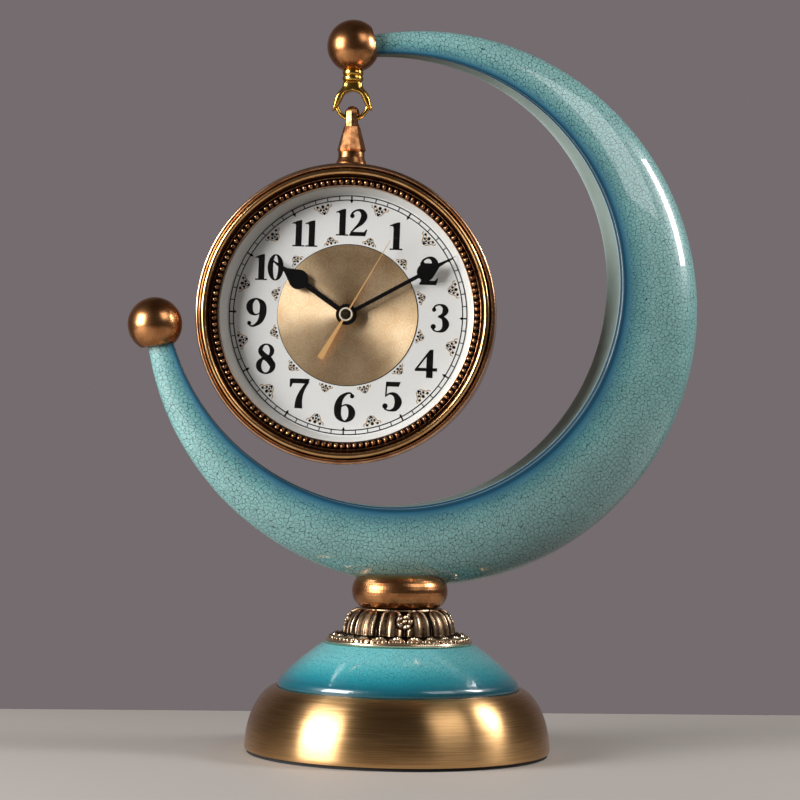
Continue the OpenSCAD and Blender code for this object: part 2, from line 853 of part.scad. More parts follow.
// Places a child at each of the rear cover's four screws
module at_lugs() {
    for (i = [0 : 3]) rotate([0, 0, 45 + 90 * i]) translate([lug_ring_r, 0, 0]) children();
}

module case_band() {
    inside = band_r - band_wall;
    head_room_h = pendant_screw_head_h + free_gap;
    color("#a9693f")
        on_head()
            difference() {
                union() {
                    turned([
                        [inside, band_rear],
                        [band_r, band_rear],
                        [band_r, band_front],
                        [inside, band_front],
                        [inside, -dial_t],
                        [inside - shelf_w, -dial_t],
                        [inside - shelf_w, shelf_z],
                        [inside, shelf_z]
                    ]);
                    at_lugs()
                        translate([0, 0, cover_z + cover_t])
                            intersection() {
                                union() {
                                    cylinder(r = lug_r, h = lug_h);
                                    translate([0, -lug_r, 0])
                                        cube([lug_in + band_wall / 2, 2 * lug_r, lug_h]);
                                }
                                translate([-lug_ring_r, 0, 0])
                                    cylinder(r = band_r - band_wall / 2, h = lug_h);
                            }
                }
                at_lugs()
                    translate([0, 0, cover_z])
                        cylinder(r = cover_screw_r + slip, h = cover_screw_len + cover_t, $fn = 32);
                translate([0, 0, pendant_depth])
                    rotate([-90, 0, 0])
                        cylinder(r = pendant_screw_r + running, h = band_r + over);
                translate([0, 0, pendant_depth])
                    rotate([-90, 0, 0])
                        translate([0, 0, inside - head_room_h])
                            cylinder(r = pendant_screw_head_r + free_gap, h = head_room_h);
            }
}

// Half-round crest of a bezel ring from radius r, width w, on height z
function crest(r, w, z, rise) = [for (i = [0 : arc_steps])
    let (t = 180 - 180 * i / arc_steps) [r + w / 2 + w / 2 * cos(t), z + rise * sin(t)]];

module front_bezel() {
    outer_top = channel_z + outer_ring_h - groove_w / 2;
    color("#a9693f")
        on_head()
            turned(concat(
                [
                    [opening_r, bezel_z],
                    [opening_r, channel_z + lip_t],
                    [channel_r, channel_z + lip_t],
                    [channel_r, channel_z],
                    [thin_ring_r, channel_z]
                ],
                crest(thin_ring_r, thin_ring_w, channel_z + thin_ring_h - thin_ring_w / 2, thin_ring_w / 2),
                [
                    [milgrain_r, channel_z + milgrain_h],
                    [gold_ring_r, channel_z + milgrain_h]
                ],
                crest(gold_ring_r, gold_ring_w, channel_z + gold_ring_h - gold_ring_w / 2, gold_ring_w / 2),
                [
                    [groove_r, channel_z + groove_h],
                    [outer_ring_r, channel_z + groove_h]
                ],
                crest(outer_ring_r, case_r - outer_ring_r, outer_top, groove_w / 2),
                [
                    [case_r, skirt_z],
                    [band_r + slip, skirt_z],
                    [band_r + slip, band_front],
                    [band_r - band_wall, band_front],
                    [band_r - band_wall, bezel_z],
                    [glass_edge_r + rim_wall, bezel_z],
                    [glass_edge_r + rim_wall, free_gap],
                    [glass_edge_r + running, free_gap],
                    [glass_edge_r + running, bezel_z]
                ]
            ));
}

// Ring of beads that lies in the bezel's channel
module bead_ring() {
    mid = channel_r + channel_w / 2;
    color("#b98a4a")
        on_head()
            union() {
                ring_plate(thin_ring_r - running, channel_r + running, channel_z, bead_base_t);
                for (i = [0 : bead_count - 1])
                    rotate([0, 0, 360 * i / bead_count])
                        translate([mid, 0, channel_z + bezel_bead_r])
                            sphere(r = bezel_bead_r, $fn = 32);
            }
}

module glass() {
    sphere_r = (pow(opening_r, 2) + pow(glass_rise, 2)) / 2 / glass_rise;
    function rise_at(r) = glass_rise - sphere_r + sqrt(pow(sphere_r, 2) - pow(r, 2));
    color("white", 0.3)
        on_head()
            turned(concat(
                [[0, glass_z + glass_rise]],
                [for (i = [0 : arc_steps])
                    let (r = opening_r * i / arc_steps)
                    [r, glass_z + glass_t + rise_at(r)]],
                [[glass_edge_r, glass_z + glass_t], [glass_edge_r, glass_z], [opening_r, glass_z]],
                [for (i = [1 : arc_steps - 1])
                    let (r = opening_r * (1 - i / arc_steps))
                    [r, glass_z + rise_at(r)]]
            ));
}

module reflector_ring() {
    color("white")
        on_head()
            turned([
                [dial_open_r, 0],
                [glass_edge_r, 0],
                [glass_edge_r, glass_z],
                [opening_r, glass_z]
            ]);
}

module dial() {
    color("#e9e9e7") on_head() ring_plate(glass_edge_r, centre_post_r + running, -dial_t, dial_t);
}

module centre_disc() {
    color("#b59a6a") on_head() ring_plate(centre_disc_r, centre_post_r + running, 0, centre_disc_t);
}

module dial_nut() {
    color("#c8a250") on_head() ring_plate(dial_nut_r, centre_post_r + slip, centre_disc_t, dial_nut_h);
}

module dial_gasket() {
    color("#222222") on_head() ring_plate(gasket_r, centre_post_r + running, -dial_t - gasket_t, gasket_t);
}

// Pressed cover with a square window round the movement
module rear_cover() {
    window = movement_w + 2 * cover_window_gap;
    color("#2b2a29")
        on_head()
            difference() {
                translate([0, 0, cover_z]) cylinder(r = band_r - band_wall - running, h = cover_t);
                translate([-window / 2, -window / 2, cover_z - over])
                    cube([window, window, cover_t + 2 * over]);
                at_lugs()
                    translate([0, 0, cover_z - over])
                        cylinder(r = cover_screw_r + running, h = cover_t + 2 * over, $fn = 32);
            }
}

module cover_screws() {
    color("silver")
        on_head()
            at_lugs() {
                translate([0, 0, cover_z - cover_head_h])
                    cylinder(r = cover_head_r, h = cover_head_h, $fn = 48);
                translate([0, 0, cover_z - cover_head_h])
                    cylinder(r = cover_screw_r, h = cover_head_h + cover_screw_len, $fn = 48);
            }
}

// Housing: a tray with a threaded post, a wall between the train and the cell, and pivot bosses
tray_front = housing_front - housing_wall;
cover_face = housing_rear + housing_wall;
inner_w = movement_w - 2 * housing_wall;

module pivot_boss(at, z, h) {
    translate([at[0], at[1], z])
        difference() {
            cylinder(r = pivot_boss_r, h = h, $fn = 32);
            translate([0, 0, -over]) cylinder(r = arbor_r + running, h = h + 2 * over, $fn = 32);
        }
}

boss_h = 0.8;

module movement_case() {
    inner_h = tray_front - cover_face + over;
    color("#26282b")
        on_head()
            difference() {
                union() {
                    difference() {
                        translate([-movement_w / 2, -movement_w / 2, cover_face])
                            cube([movement_w, movement_w, housing_front - cover_face]);
                        translate([-inner_w / 2, cell_wall_y, cover_face - over])
                            cube([inner_w, inner_w / 2 - cell_wall_y, inner_h]);
                        translate([-inner_w / 2, -inner_w / 2, cover_face - over])
                            cube([inner_w, cell_wall_y - cell_wall_t + inner_w / 2, inner_h]);
                    }
                    cylinder(r = centre_post_r, h = centre_disc_t + dial_nut_h);
                    translate([0, 0, housing_front]) cylinder(r = centre_post_r, h = -housing_front);
                    for (at = [third_at, minute_at]) pivot_boss(at, tray_front - boss_h, boss_h);
                }
                translate([0, 0, tray_front - over])
                    cylinder(r = post_bore_r, h = centre_disc_t + dial_nut_h - tray_front + 2 * over);
            }
}

module movement_cover() {
    top = movement_w / 2 - cell_wall_y + cell_wall_t;
    color("#2f3236")
        on_head()
            difference() {
                union() {
                    translate([-movement_w / 2, cell_wall_y - cell_wall_t, housing_rear])
                        cube([movement_w, top, housing_wall]);
                    for (at = [third_at, intermediate_at, rotor_at, [0, 0]])
                        pivot_boss(at, cover_face, boss_h);
                }
                translate([setting_at[0], setting_at[1], housing_rear - over])
                    cylinder(r = stem_r + running, h = housing_wall + 2 * over, $fn = 48);
            }
}

// Plate between the motion work and the fast train
module movement_bridge() {
    color("#c9cbcd")
        on_head()
            difference() {
                translate([-bridge_half, cell_wall_y + free_gap, bridge_z - bridge_t])
                    cube([2 * bridge_half, bridge_top - cell_wall_y, bridge_t]);
                translate([0, 0, bridge_z - bridge_t - over])
                    cylinder(r = pipe_r + running, h = bridge_t + 2 * over, $fn = 48);
                for (at = [third_at, intermediate_at, rotor_at])
                    translate([at[0], at[1], bridge_z - bridge_t - over])
                        cylinder(r = arbor_r + running, h = bridge_t + 2 * over, $fn = 48);
                translate([setting_at[0], setting_at[1], bridge_z - bridge_t - over])
                    cylinder(r = stem_r + running, h = bridge_t + 2 * over, $fn = 48);
            }
}

board_x = -25.6;
board_w = 12;
board_y = -9.4;
board_l = 31;
board_z = -14.4;
board_t = 0.8;
chip_r = 2.6;
chip_h = 0.9;
crystal_r = 1;
crystal_l = 6;
crystal_at = [-19.5, 14, board_z + board_t + crystal_r];

module circuit_board() {
    color("#2f6b3c")
        on_head() {
            translate([board_x, board_y, board_z]) cube([board_w, board_l, board_t]);
            translate([board_x + board_w / 2, board_y + board_l / 4, board_z + board_t])
                cylinder(r = chip_r, h = chip_h, $fn = 48);
        }
}

module quartz_crystal() {
    color("silver")
        on_head()
            translate(crystal_at)
                rotate([90, 0, 0])
                    cylinder(r = crystal_r, h = crystal_l, $fn = 48);
}

// Stator: two legs from the coil's core down to the rotor
stator_z = -12;
stator_t = 0.8;
leg_w = 2.2;
left_leg_x = 12.7;
right_leg_x = 22.8;
coil_y = 20.8;
coil_r = 2.6;
coil_x = 6.4;
coil_l = 15.6;
arm_x = 3.8;
arm_y = 14.4;
rotor_hole_r = 3.7;
stator_head = 5.2;

module stator() {
    head_x = rotor_at[0] - stator_head;
    head_y = rotor_at[1] - stator_head;
    color("#8d8f92")
        on_head()
            translate([0, 0, stator_z])
                linear_extrude(stator_t)
                    difference() {
                        union() {
                            translate([head_x, head_y])
                                square([right_leg_x + leg_w - head_x, 2 * stator_head]);
                            translate([left_leg_x, head_y]) square([leg_w, arm_y + leg_w - head_y]);
                            translate([right_leg_x, head_y])
                                square([leg_w, coil_y + leg_w / 2 - head_y]);
                            translate([arm_x, arm_y]) square([left_leg_x + leg_w - arm_x, leg_w]);
                            translate([arm_x, arm_y]) square([leg_w, coil_y + leg_w / 2 - arm_y]);
                        }
                        translate(rotor_at) circle(r = rotor_hole_r);
                    }
}

// Bar through the coil, lying on the stator's two legs, grown by a fit for the coil's bore
module core_bar(grow) {
    translate([arm_x - grow, coil_y - leg_w / 2 - grow, stator_z + stator_t - grow])
        cube([right_leg_x + leg_w - arm_x + 2 * grow, leg_w + 2 * grow, stator_t + 2 * grow]);
}

module coil_core() {
    color("#9a9c9f") on_head() core_bar(0);
}

module coil() {
    color("#b5652c")
        on_head()
            difference() {
                translate([coil_x, coil_y, stator_z + 3 * stator_t / 2])
                    rotate([0, 90, 0])
                        cylinder(r = coil_r, h = coil_l, $fn = 48);
                core_bar(running);
            }
}

cell_z = tray_front - running - cell_r;
cell_nub_r = 2.7;
cell_nub_h = 1.3;
contact_t = 0.4;
contact_w = 9;
contact_h = 10;
cell_right = inner_w / 2 - contact_t - running;

module battery_cell() {
    color("#3c3c3c")
        on_head()
            translate([cell_right - cell_len, cell_y, cell_z])
                rotate([0, 90, 0]) {
                    cylinder(r = cell_r, h = cell_len - cell_nub_h);
                    cylinder(r = cell_nub_r, h = cell_len);
                }
}

module contact_plus() {
    color("#c9c9c9")
        on_head()
            translate([inner_w / 2 - contact_t, cell_y - contact_w / 2, cell_z - contact_h / 2])
                cube([contact_t, contact_w, contact_h]);
}

// Bent leaf that presses on the cell's flat end
module contact_minus() {
    gap = cell_right - cell_len + inner_w / 2 - running;
    color("#c9c9c9")
        on_head()
            translate([-inner_w / 2, cell_y - contact_w / 2, cell_z])
                rotate([-90, 0, 0])
                    linear_extrude(contact_w)
                        polygon([
                            [0, -contact_h / 2],
                            [contact_t, -contact_h / 2],
                            [gap, -contact_t],
                            [gap, contact_t],
                            [contact_t, contact_h / 2],
                            [0, contact_h / 2]
                        ]);
}

// A spade hand in plan: a hub, a stem, a round spade and a drawn-out point along Y
module spade_outline(length, bulb_at, bulb_r, stem_w, hub_r) {
    neck = bulb_at + bulb_r * spade_neck_share;
    shoulder = bulb_r * sin(acos(spade_neck_share));
    circle(r = hub_r);
    translate([-stem_w / 2, 0]) square([stem_w, bulb_at]);
    translate([0, bulb_at]) circle(r = bulb_r);
    polygon([
        [-shoulder, neck],
        [-stem_w / 2, bulb_at + 2 * bulb_r * spade_neck_share + bulb_r / 2],
        [0, length],
        [stem_w / 2, bulb_at + 2 * bulb_r * spade_neck_share + bulb_r / 2],
        [shoulder, neck]
    ]);
}

minute_turn = -6 * shown_minutes;
hour_turn = -30 * (hours_shown + shown_minutes / 60);
second_turn = -6 * shown_seconds;

// A spade hand with its hub, on height z, pressed on a pipe of radius bore
module spade_hand(z, turn, bore, length, bulb_at, bulb_r, stem_w, hub_r) {
    on_head()
        rotate([0, 0, turn])
            difference() {
                translate([0, 0, z]) {
                    linear_extrude(hand_t) spade_outline(length, bulb_at, bulb_r, stem_w, hub_r);
                    cylinder(r = hub_r, h = hand_t + hub_rise);
                }
                translate([0, 0, z - over]) cylinder(r = bore + slip, h = hand_t + hub_rise + 2 * over);
            }
}

module hour_hand() {
    color("#101010")
        spade_hand(hour_hand_z, hour_turn, hour_pipe_r, hour_len, hour_bulb_at, hour_bulb_r,
            hour_stem_w, hour_hub_r);
}

module minute_hand() {
    color("#101010")
        spade_hand(minute_hand_z, minute_turn, pipe_r, minute_len, minute_bulb_at, minute_bulb_r,
            minute_stem_w, minute_hub_r);
}

module second_hand() {
    cap_z = second_hand_z - second_cap_drop;
    color("#d9a869")
        on_head()
            rotate([0, 0, second_turn])
                difference() {
                    union() {
                        translate([0, 0, second_hand_z])
                            linear_extrude(second_hand_t)
                                polygon([
                                    [-second_half_w, 0],
                                    [-second_tip_w / 2, second_len],
                                    [second_tip_w / 2, second_len],
                                    [second_half_w, 0],
                                    [second_tail_w / 2, -second_tail],
                                    [-second_tail_w / 2, -second_tail]
                                ]);
                        translate([0, 0, cap_z]) cylinder(r = second_cap_r, h = second_cap_h);
                    }
                    translate([0, 0, cap_z - over])
                        cylinder(r = second_arbor_r + slip, h = second_cap_h - second_cap_drop + over,
                            $fn = 32);
                }
}

// Depths of the wheels, counted back from the dial
hour_wheel_z = -4.8;
wheel_t = 0.8;
minute_wheel_z = -6.5;
centre_wheel_z = -8.4;
third_wheel_z = -11;
seconds_wheel_z = -12.9;
intermediate_wheel_z = -14.5;
thin_wheel_t = 0.6;
stem_r = 1.2;
arbor_gap = 0.2;
arbor_rear = cover_face + arbor_gap;
arbor_front = tray_front - arbor_gap;
broad_t = wheel_t + 2 * arbor_gap;

module hour_wheel() {
    pipe_h = hour_hand_z + hand_t + hub_rise - hour_wheel_z;
    color("#d9c9a0")
        on_head()
            difference() {
                union() {
                    gear(hour_mesh[1], motion_module, hour_wheel_z, wheel_t, 0,
                        meshed(minute_dir + 180, 0, hour_mesh[0], hour_mesh[1]));
                    translate([0, 0, hour_wheel_z]) cylinder(r = hour_pipe_r, h = pipe_h);
                }
                translate([0, 0, hour_wheel_z - over])
                    cylinder(r = pipe_r + running, h = pipe_h + 2 * over);
            }
}

pipe_rear_z = bridge_z - bridge_t;
pipe_front_z = minute_hand_z + hand_t + hub_rise;

module cannon_pinion() {
    pipe_h = pipe_front_z - pipe_rear_z;
    color("#c8a250")
        on_head()
            difference() {
                union() {
                    gear(minute_mesh[0], motion_module, minute_wheel_z - arbor_gap, broad_t, 0);
                    translate([0, 0, pipe_rear_z]) cylinder(r = pipe_r, h = pipe_h);
                }
                translate([0, 0, pipe_rear_z - over])
                    cylinder(r = second_arbor_r + running, h = pipe_h + 2 * over, $fn = 48);
            }
}

module minute_wheel() {
    rear = bridge_z + arbor_gap;
    pinion_h = hour_wheel_z - minute_wheel_z + arbor_gap;
    color("#d9c9a0")
        on_head()
            translate([minute_at[0], minute_at[1], 0]) {
                gear(minute_mesh[1], motion_module, minute_wheel_z, wheel_t, 0, minute_wheel_turn);
                gear(hour_mesh[0], motion_module, minute_wheel_z + wheel_t, pinion_h, 0);
                translate([0, 0, rear]) cylinder(r = arbor_r, h = arbor_front - rear, $fn = 48);
            }
}

knob_z = housing_rear - free_gap;

module setting_stem() {
    top = minute_wheel_z + wheel_t + arbor_gap;
    color("#dadada")
        on_head()
            translate([setting_at[0], setting_at[1], 0]) {
                gear(setting_teeth, motion_module, minute_wheel_z - arbor_gap, broad_t, 0,
                    meshed(setting_dir, minute_wheel_turn, minute_mesh[1], setting_teeth));
                translate([0, 0, knob_z - knob_h / 2])
                    cylinder(r = stem_r, h = top - knob_z + knob_h / 2, $fn = 48);
            }
}

knob_flutes = 24;
knob_flute_r = 0.45;

// Fluted finger knob pressed on the stem
module setting_knob() {
    color("#e2e2e2")
        on_head()
            translate([setting_at[0], setting_at[1], knob_z - knob_h])
                difference() {
                    linear_extrude(knob_h)
                        difference() {
                            circle(r = knob_r);
                            for (i = [0 : knob_flutes - 1])
                                rotate([0, 0, 360 * i / knob_flutes])
                                    translate([knob_r, 0]) circle(r = knob_flute_r, $fn = 16);
                        }
                    translate([0, 0, knob_h / 2 - slip]) cylinder(r = stem_r + slip, h = knob_h, $fn = 48);
                }
}

module seconds_wheel() {
    front = second_hand_z - second_cap_drop + second_cap_h - 2 * second_cap_drop;
    color("#d9c9a0")
        on_head() {
            gear(intermediate_mesh[1], fast_module, seconds_wheel_z, thin_wheel_t, 0,
                meshed(intermediate_dir + 180, 0, intermediate_mesh[0], intermediate_mesh[1]));
            gear(third_mesh[0], third_module, seconds_wheel_z, pipe_rear_z - arbor_gap - seconds_wheel_z, 0);
            translate([0, 0, arbor_rear]) cylinder(r = second_arbor_r, h = front - arbor_rear, $fn = 48);
        }
}

module third_wheel() {
    color("#d9c9a0")
        on_head()
            translate([third_at[0], third_at[1], 0]) {
                gear(third_mesh[1], third_module, third_wheel_z, thin_wheel_t, 0,
                    meshed(third_dir, 0, third_mesh[0], third_mesh[1]));
                gear(centre_mesh[0], centre_module, centre_wheel_z - arbor_gap, broad_t, 0);
                translate([0, 0, arbor_rear]) cylinder(r = arbor_r, h = arbor_front - arbor_rear, $fn = 48);
            }
}

module centre_wheel() {
    color("#c8a250")
        on_head()
            gear(centre_mesh[1], centre_module, centre_wheel_z, wheel_t, pipe_r + running,
                meshed(third_dir + 180, 0, centre_mesh[0], centre_mesh[1]));
}

clutch_r = 4;
clutch_t = 0.3;

module clutch_spring() {
    color("#d0d0d0") on_head() ring_plate(clutch_r, pipe_r + running, centre_wheel_z + wheel_t, clutch_t);
}

module intermediate_wheel() {
    front = bridge_z - arbor_gap;
    color("#d9c9a0")
        on_head()
            translate([intermediate_at[0], intermediate_at[1], 0]) {
                gear(rotor_mesh[1], fast_module, intermediate_wheel_z, thin_wheel_t, 0,
                    meshed(rotor_dir + 180, 0, rotor_mesh[0], rotor_mesh[1]));
                gear(intermediate_mesh[0], fast_module, intermediate_wheel_z + thin_wheel_t,
                    seconds_wheel_z - intermediate_wheel_z + arbor_gap, 0);
                translate([0, 0, arbor_rear]) cylinder(r = arbor_r, h = front - arbor_rear, $fn = 48);
            }
}

rotor_r = 3.2;
rotor_z = -13.2;
rotor_h = 2.8;

module rotor() {
    color("#4a4a4d")
        on_head()
            translate([rotor_at[0], rotor_at[1], 0])
                ring_plate(rotor_r, arbor_r + slip, rotor_z, rotor_h);
}

module rotor_pinion() {
    front = bridge_z - arbor_gap;
    pinion_h = thin_wheel_t + 2 * arbor_gap;
    color("#e8e0c8")
        on_head()
            translate([rotor_at[0], rotor_at[1], 0]) {
                gear(rotor_mesh[0], fast_module, intermediate_wheel_z - arbor_gap, pinion_h, 0);
                translate([0, 0, arbor_rear]) cylinder(r = arbor_r, h = front - arbor_rear, $fn = 48);
            }
}

foot_pad();
base_shell();
base_weight();
rod_nut();
rod_washer();
tie_rod();
glazed_plinth();
cast_collar();
saddle_bead();
crescent();
upper_ball();
lower_ball();
ball_studs();
hanger_collar();
claw_yoke();
swivel_cap();
hanger_ring();
pendant_eye();
pendant();
pendant_screw();
case_band();
front_bezel();
bead_ring();
glass();
reflector_ring();
dial();
centre_disc();
dial_nut();
dial_gasket();
rear_cover();
cover_screws();
movement_case();
movement_cover();
movement_bridge();
circuit_board();
quartz_crystal();
coil();
coil_core();
stator();
contact_plus();
contact_minus();
battery_cell();
hour_hand();
hour_wheel();
minute_hand();
cannon_pinion();
minute_wheel();
setting_stem();
setting_knob();
second_hand();
seconds_wheel();
third_wheel();
centre_wheel();
clutch_spring();
intermediate_wheel();
rotor();
rotor_pinion();
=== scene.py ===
"""Builds the looks of a table clock, a round head that hangs from a glazed crescent, over its CAD model."""

import json
import logging
import math
from collections.abc import Sequence
from dataclasses import dataclass, field
from enum import Enum, IntEnum

import bpy
import numpy as np
from mathutils import Matrix, Vector


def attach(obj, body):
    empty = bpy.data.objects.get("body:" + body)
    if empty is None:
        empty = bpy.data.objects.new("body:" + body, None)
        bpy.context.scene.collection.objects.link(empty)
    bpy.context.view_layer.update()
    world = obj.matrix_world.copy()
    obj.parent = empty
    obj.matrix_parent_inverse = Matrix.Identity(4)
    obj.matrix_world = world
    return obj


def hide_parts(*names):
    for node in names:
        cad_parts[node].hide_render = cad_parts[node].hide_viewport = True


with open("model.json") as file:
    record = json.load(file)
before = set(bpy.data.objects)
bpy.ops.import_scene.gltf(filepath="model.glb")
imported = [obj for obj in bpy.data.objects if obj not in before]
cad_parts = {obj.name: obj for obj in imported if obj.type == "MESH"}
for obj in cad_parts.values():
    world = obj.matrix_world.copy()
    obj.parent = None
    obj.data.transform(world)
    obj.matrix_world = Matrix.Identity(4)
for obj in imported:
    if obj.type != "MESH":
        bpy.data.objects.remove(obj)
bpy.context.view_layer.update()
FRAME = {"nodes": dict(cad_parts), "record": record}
MM = 0.001
FULL_TURN = 2 * math.pi
LOG = logging.getLogger("table_clock")
# How much the ink of a printed figure spreads where it is wider than a hairline, in cap heights
SPREAD = 0.3
HAIRLINE = 0.06
Stops = Sequence[tuple[float, str]]
Wires = dict[str | int, object]


def linear(code: str) -> tuple[float, float, float, float]:
    """Turns an sRGB colour into the linear one that Blender works with.

    Args:
        code: The colour as #rrggbb.

    Returns:
        Linear red, green and blue, and an alpha of one.
    """
    parts = [int(code[i : i + 2], 16) / 255 for i in (1, 3, 5)]
    red, green, blue = [c / 12.92 if c <= 0.04045 else ((c + 0.055) / 1.055) ** 2.4 for c in parts]
    return red, green, blue, 1.0


def join(tree: bpy.types.NodeTree, node: bpy.types.Node, wires: Wires) -> None:
    """Links or sets inputs of a node.

    Args:
        tree: The node tree that holds the node.
        node: The node.
        wires: For each input, a socket to link or a value to set.
    """
    for key, value in wires.items():
        if isinstance(value, bpy.types.NodeSocket):
            tree.links.new(value, node.inputs[key])
        else:
            node.inputs[key].default_value = value


def add(
    tree: bpy.types.NodeTree,
    kind: str,
    settings: dict[str, object] | None = None,
    wires: Wires | None = None,
    stops: Stops = (),
) -> bpy.types.Node:
    """Adds a node with its settings and links.

    Args:
        tree: The node tree that gets the node.
        kind: The node's type without its ShaderNode prefix.
        settings: Properties of the node.
        wires: For each input, a socket to link or a value to set.
        stops: Places and colours of a colour ramp.

    Returns:
        The node.
    """
    node = tree.nodes.new(f"ShaderNode{kind}")
    for key, value in (settings or {}).items():
        setattr(node, key, value)
    join(tree, node, wires or {})
    for i, (place, colour) in enumerate(stops):
        elements = node.color_ramp.elements
        element = elements[i] if i < 2 else elements.new(place)
        element.position = place
        element.color = linear(colour)
    return node


@dataclass(frozen=True)
class Finish:
    """What every finish has: a title, a colour and a roughness, and one material for all its pieces."""

    title: str
    colour: str
    roughness: float

    def material(self) -> bpy.types.Material:
        """Gives the finish's material, made when it is first asked for.

        Returns:
            The material.
        """
        # The import brings materials of its own, so these get a name that sets them apart
        name = f"{self.title}_finish"
        found = bpy.data.materials.get(name)
        if found:
            return found
        made = bpy.data.materials.new(name)
        made.use_nodes = True
        tree = made.node_tree
        shader = tree.nodes["Principled BSDF"]
        join(tree, shader, {"Base Color": linear(self.colour), "Roughness": self.roughness})
        self.dress(tree, shader)
        return made

    def dress(self, tree: bpy.types.NodeTree, shader: bpy.types.Node) -> None:
        """Adds the nodes of this finish.

        Args:
            tree: The material's nodes.
            shader: Its Principled shader.
        """
        raise NotImplementedError


@dataclass(frozen=True)
class SpunBrushedMetal(Finish):
    """Spun metal brushed as it turned: level hairlines draw each highlight out into an upright band."""

    shade: str
    # Spacing of the hairlines, their length in spacings, and how far they draw a highlight out
    line_mm: float = 0.35
    line_length: float = 60.0
    stretch: float = 0.75

    def dress(self, tree: bpy.types.NodeTree, shader: bpy.types.Node) -> None:
        """Adds hairlines round the axis to colour, roughness and relief.

        Args:
            tree: The material's nodes.
            shader: Its Principled shader.
        """
        place = add(tree, "TexCoord").outputs["Object"]
        # Real hairlines are 0.05 mm apart, too fine for the render, so they are drawn several times as wide
        pitch = 1 / (self.line_mm * MM)
        scale = (pitch / self.line_length, pitch / self.line_length, pitch)
        lines = add(tree, "Mapping", wires={"Vector": place, "Scale": scale})
        noise = add(tree, "TexNoise", wires={"Vector": lines.outputs[0], "Scale": 1.0, "Detail": 3.0})
        hair = noise.outputs[0]
        tone = add(tree, "ValToRGB", wires={0: hair}, stops=((0.3, self.shade), (0.7, self.colour)))
        rough = add(
            tree, "MapRange", wires={0: hair, 3: self.roughness * 0.8, 4: self.roughness * 1.25}
        )
        bump = add(tree, "Bump", wires={"Height": hair, "Distance": 0.01 * MM, "Strength": 0.6})
        tangent = add(tree, "Tangent", {"direction_type": "RADIAL", "axis": "Z"})
        wires = {
            "Metallic": 1.0,
            "Anisotropic": self.stretch,
            "Anisotropic Rotation": 0.25,
            "Base Color": tone.outputs[0],
            "Roughness": rough.outputs[0],
            "Normal": bump.outputs[0],
            "Tangent": tangent.outputs[0],
        }
        join(tree, shader, wires)


@dataclass(frozen=True)
class PatinatedMetal(Finish):
    """Plated metal rubbed back after darkening: cloudy tone, and a sheen that is a little uneven."""

    shade: str
    cloud_mm: float = 9.0
    coat: float = 0.0
    grain: float = 0.25

    def dress(self, tree: bpy.types.NodeTree, shader: bpy.types.Node) -> None:
        """Adds clouds of tone and a fine unevenness.

        Args:
            tree: The material's nodes.
            shader: Its Principled shader.
        """
        place = add(tree, "TexCoord").outputs["Object"]
        cloud_scale = 1 / (self.cloud_mm * MM)
        noise = add(tree, "TexNoise", wires={"Vector": place, "Scale": cloud_scale, "Detail": 4.0})
        cloud = noise.outputs[0]
        tone = add(tree, "ValToRGB", wires={0: cloud}, stops=((0.32, self.shade), (0.62, self.colour)))
        # The polish lines of the real part are under 0.1 mm, and are drawn at 0.6 mm to show at all
        grain = add(tree, "TexNoise", wires={"Vector": place, "Scale": 1 / (0.6 * MM), "Detail": 2.0})
        rough = add(
            tree, "MapRange", wires={0: cloud, 3: self.roughness * 1.2, 4: self.roughness * 0.85}
        )
        height = {"Height": grain.outputs[0], "Distance": 0.004 * MM, "Strength": self.grain}
        bump = add(tree, "Bump", wires=height)
        wires = {
            "Metallic": 1.0,
            "Coat Weight": self.coat,
            "Coat Roughness": 0.08,
            "Base Color": tone.outputs[0],
            "Roughness": rough.outputs[0],
            "Normal": bump.outputs[0],
        }
        join(tree, shader, wires)


@dataclass(frozen=True)
class AntiqueCastBrass(Finish):
    """Cast brass, blackened and rubbed: recesses stay near black, and raised edges come up silvery."""

    recess: str
    edge: str

    def dress(self, tree: bpy.types.NodeTree, shader: bpy.types.Node) -> None:
        """Colours the casting by its relief value: height and rubbed wear, and on the dome's broad faces a
        painted highlight.

        Args:
            tree: The material's nodes.
            shader: Its Principled shader.
        """
        relief = add(tree, "Attribute", {"attribute_name": "relief"}).outputs["Fac"]
        place = add(tree, "TexCoord").outputs["Object"]
        pores = add(tree, "TexNoise", wires={"Vector": place, "Scale": 1 / (1.2 * MM), "Detail": 3.0})
        worn = add(
            tree, "Math", {"operation": "MULTIPLY_ADD"}, {0: pores.outputs[0], 1: 0.35, 2: relief}
        )
        tone = add(
            tree,
            "ValToRGB",
            wires={0: worn.outputs[0]},
            stops=((0.3, self.recess), (0.62, self.colour), (0.95, self.edge)),
        )
        # Rubbed edges are smoother than the blackened ground
        rough = add(tree, "MapRange", wires={0: worn.outputs[0], 1: 0.3, 2: 0.9, 3: 0.55, 4: 0.24})
        height = {"Height": pores.outputs[0], "Distance": 0.05 * MM, "Strength": 0.4}
        bump = add(tree, "Bump", wires=height)
        wires = {
            "Metallic": 1.0,
            "Base Color": tone.outputs[0],
            "Roughness": rough.outputs[0],
            "Normal": bump.outputs[0],
        }
        join(tree, shader, wires)


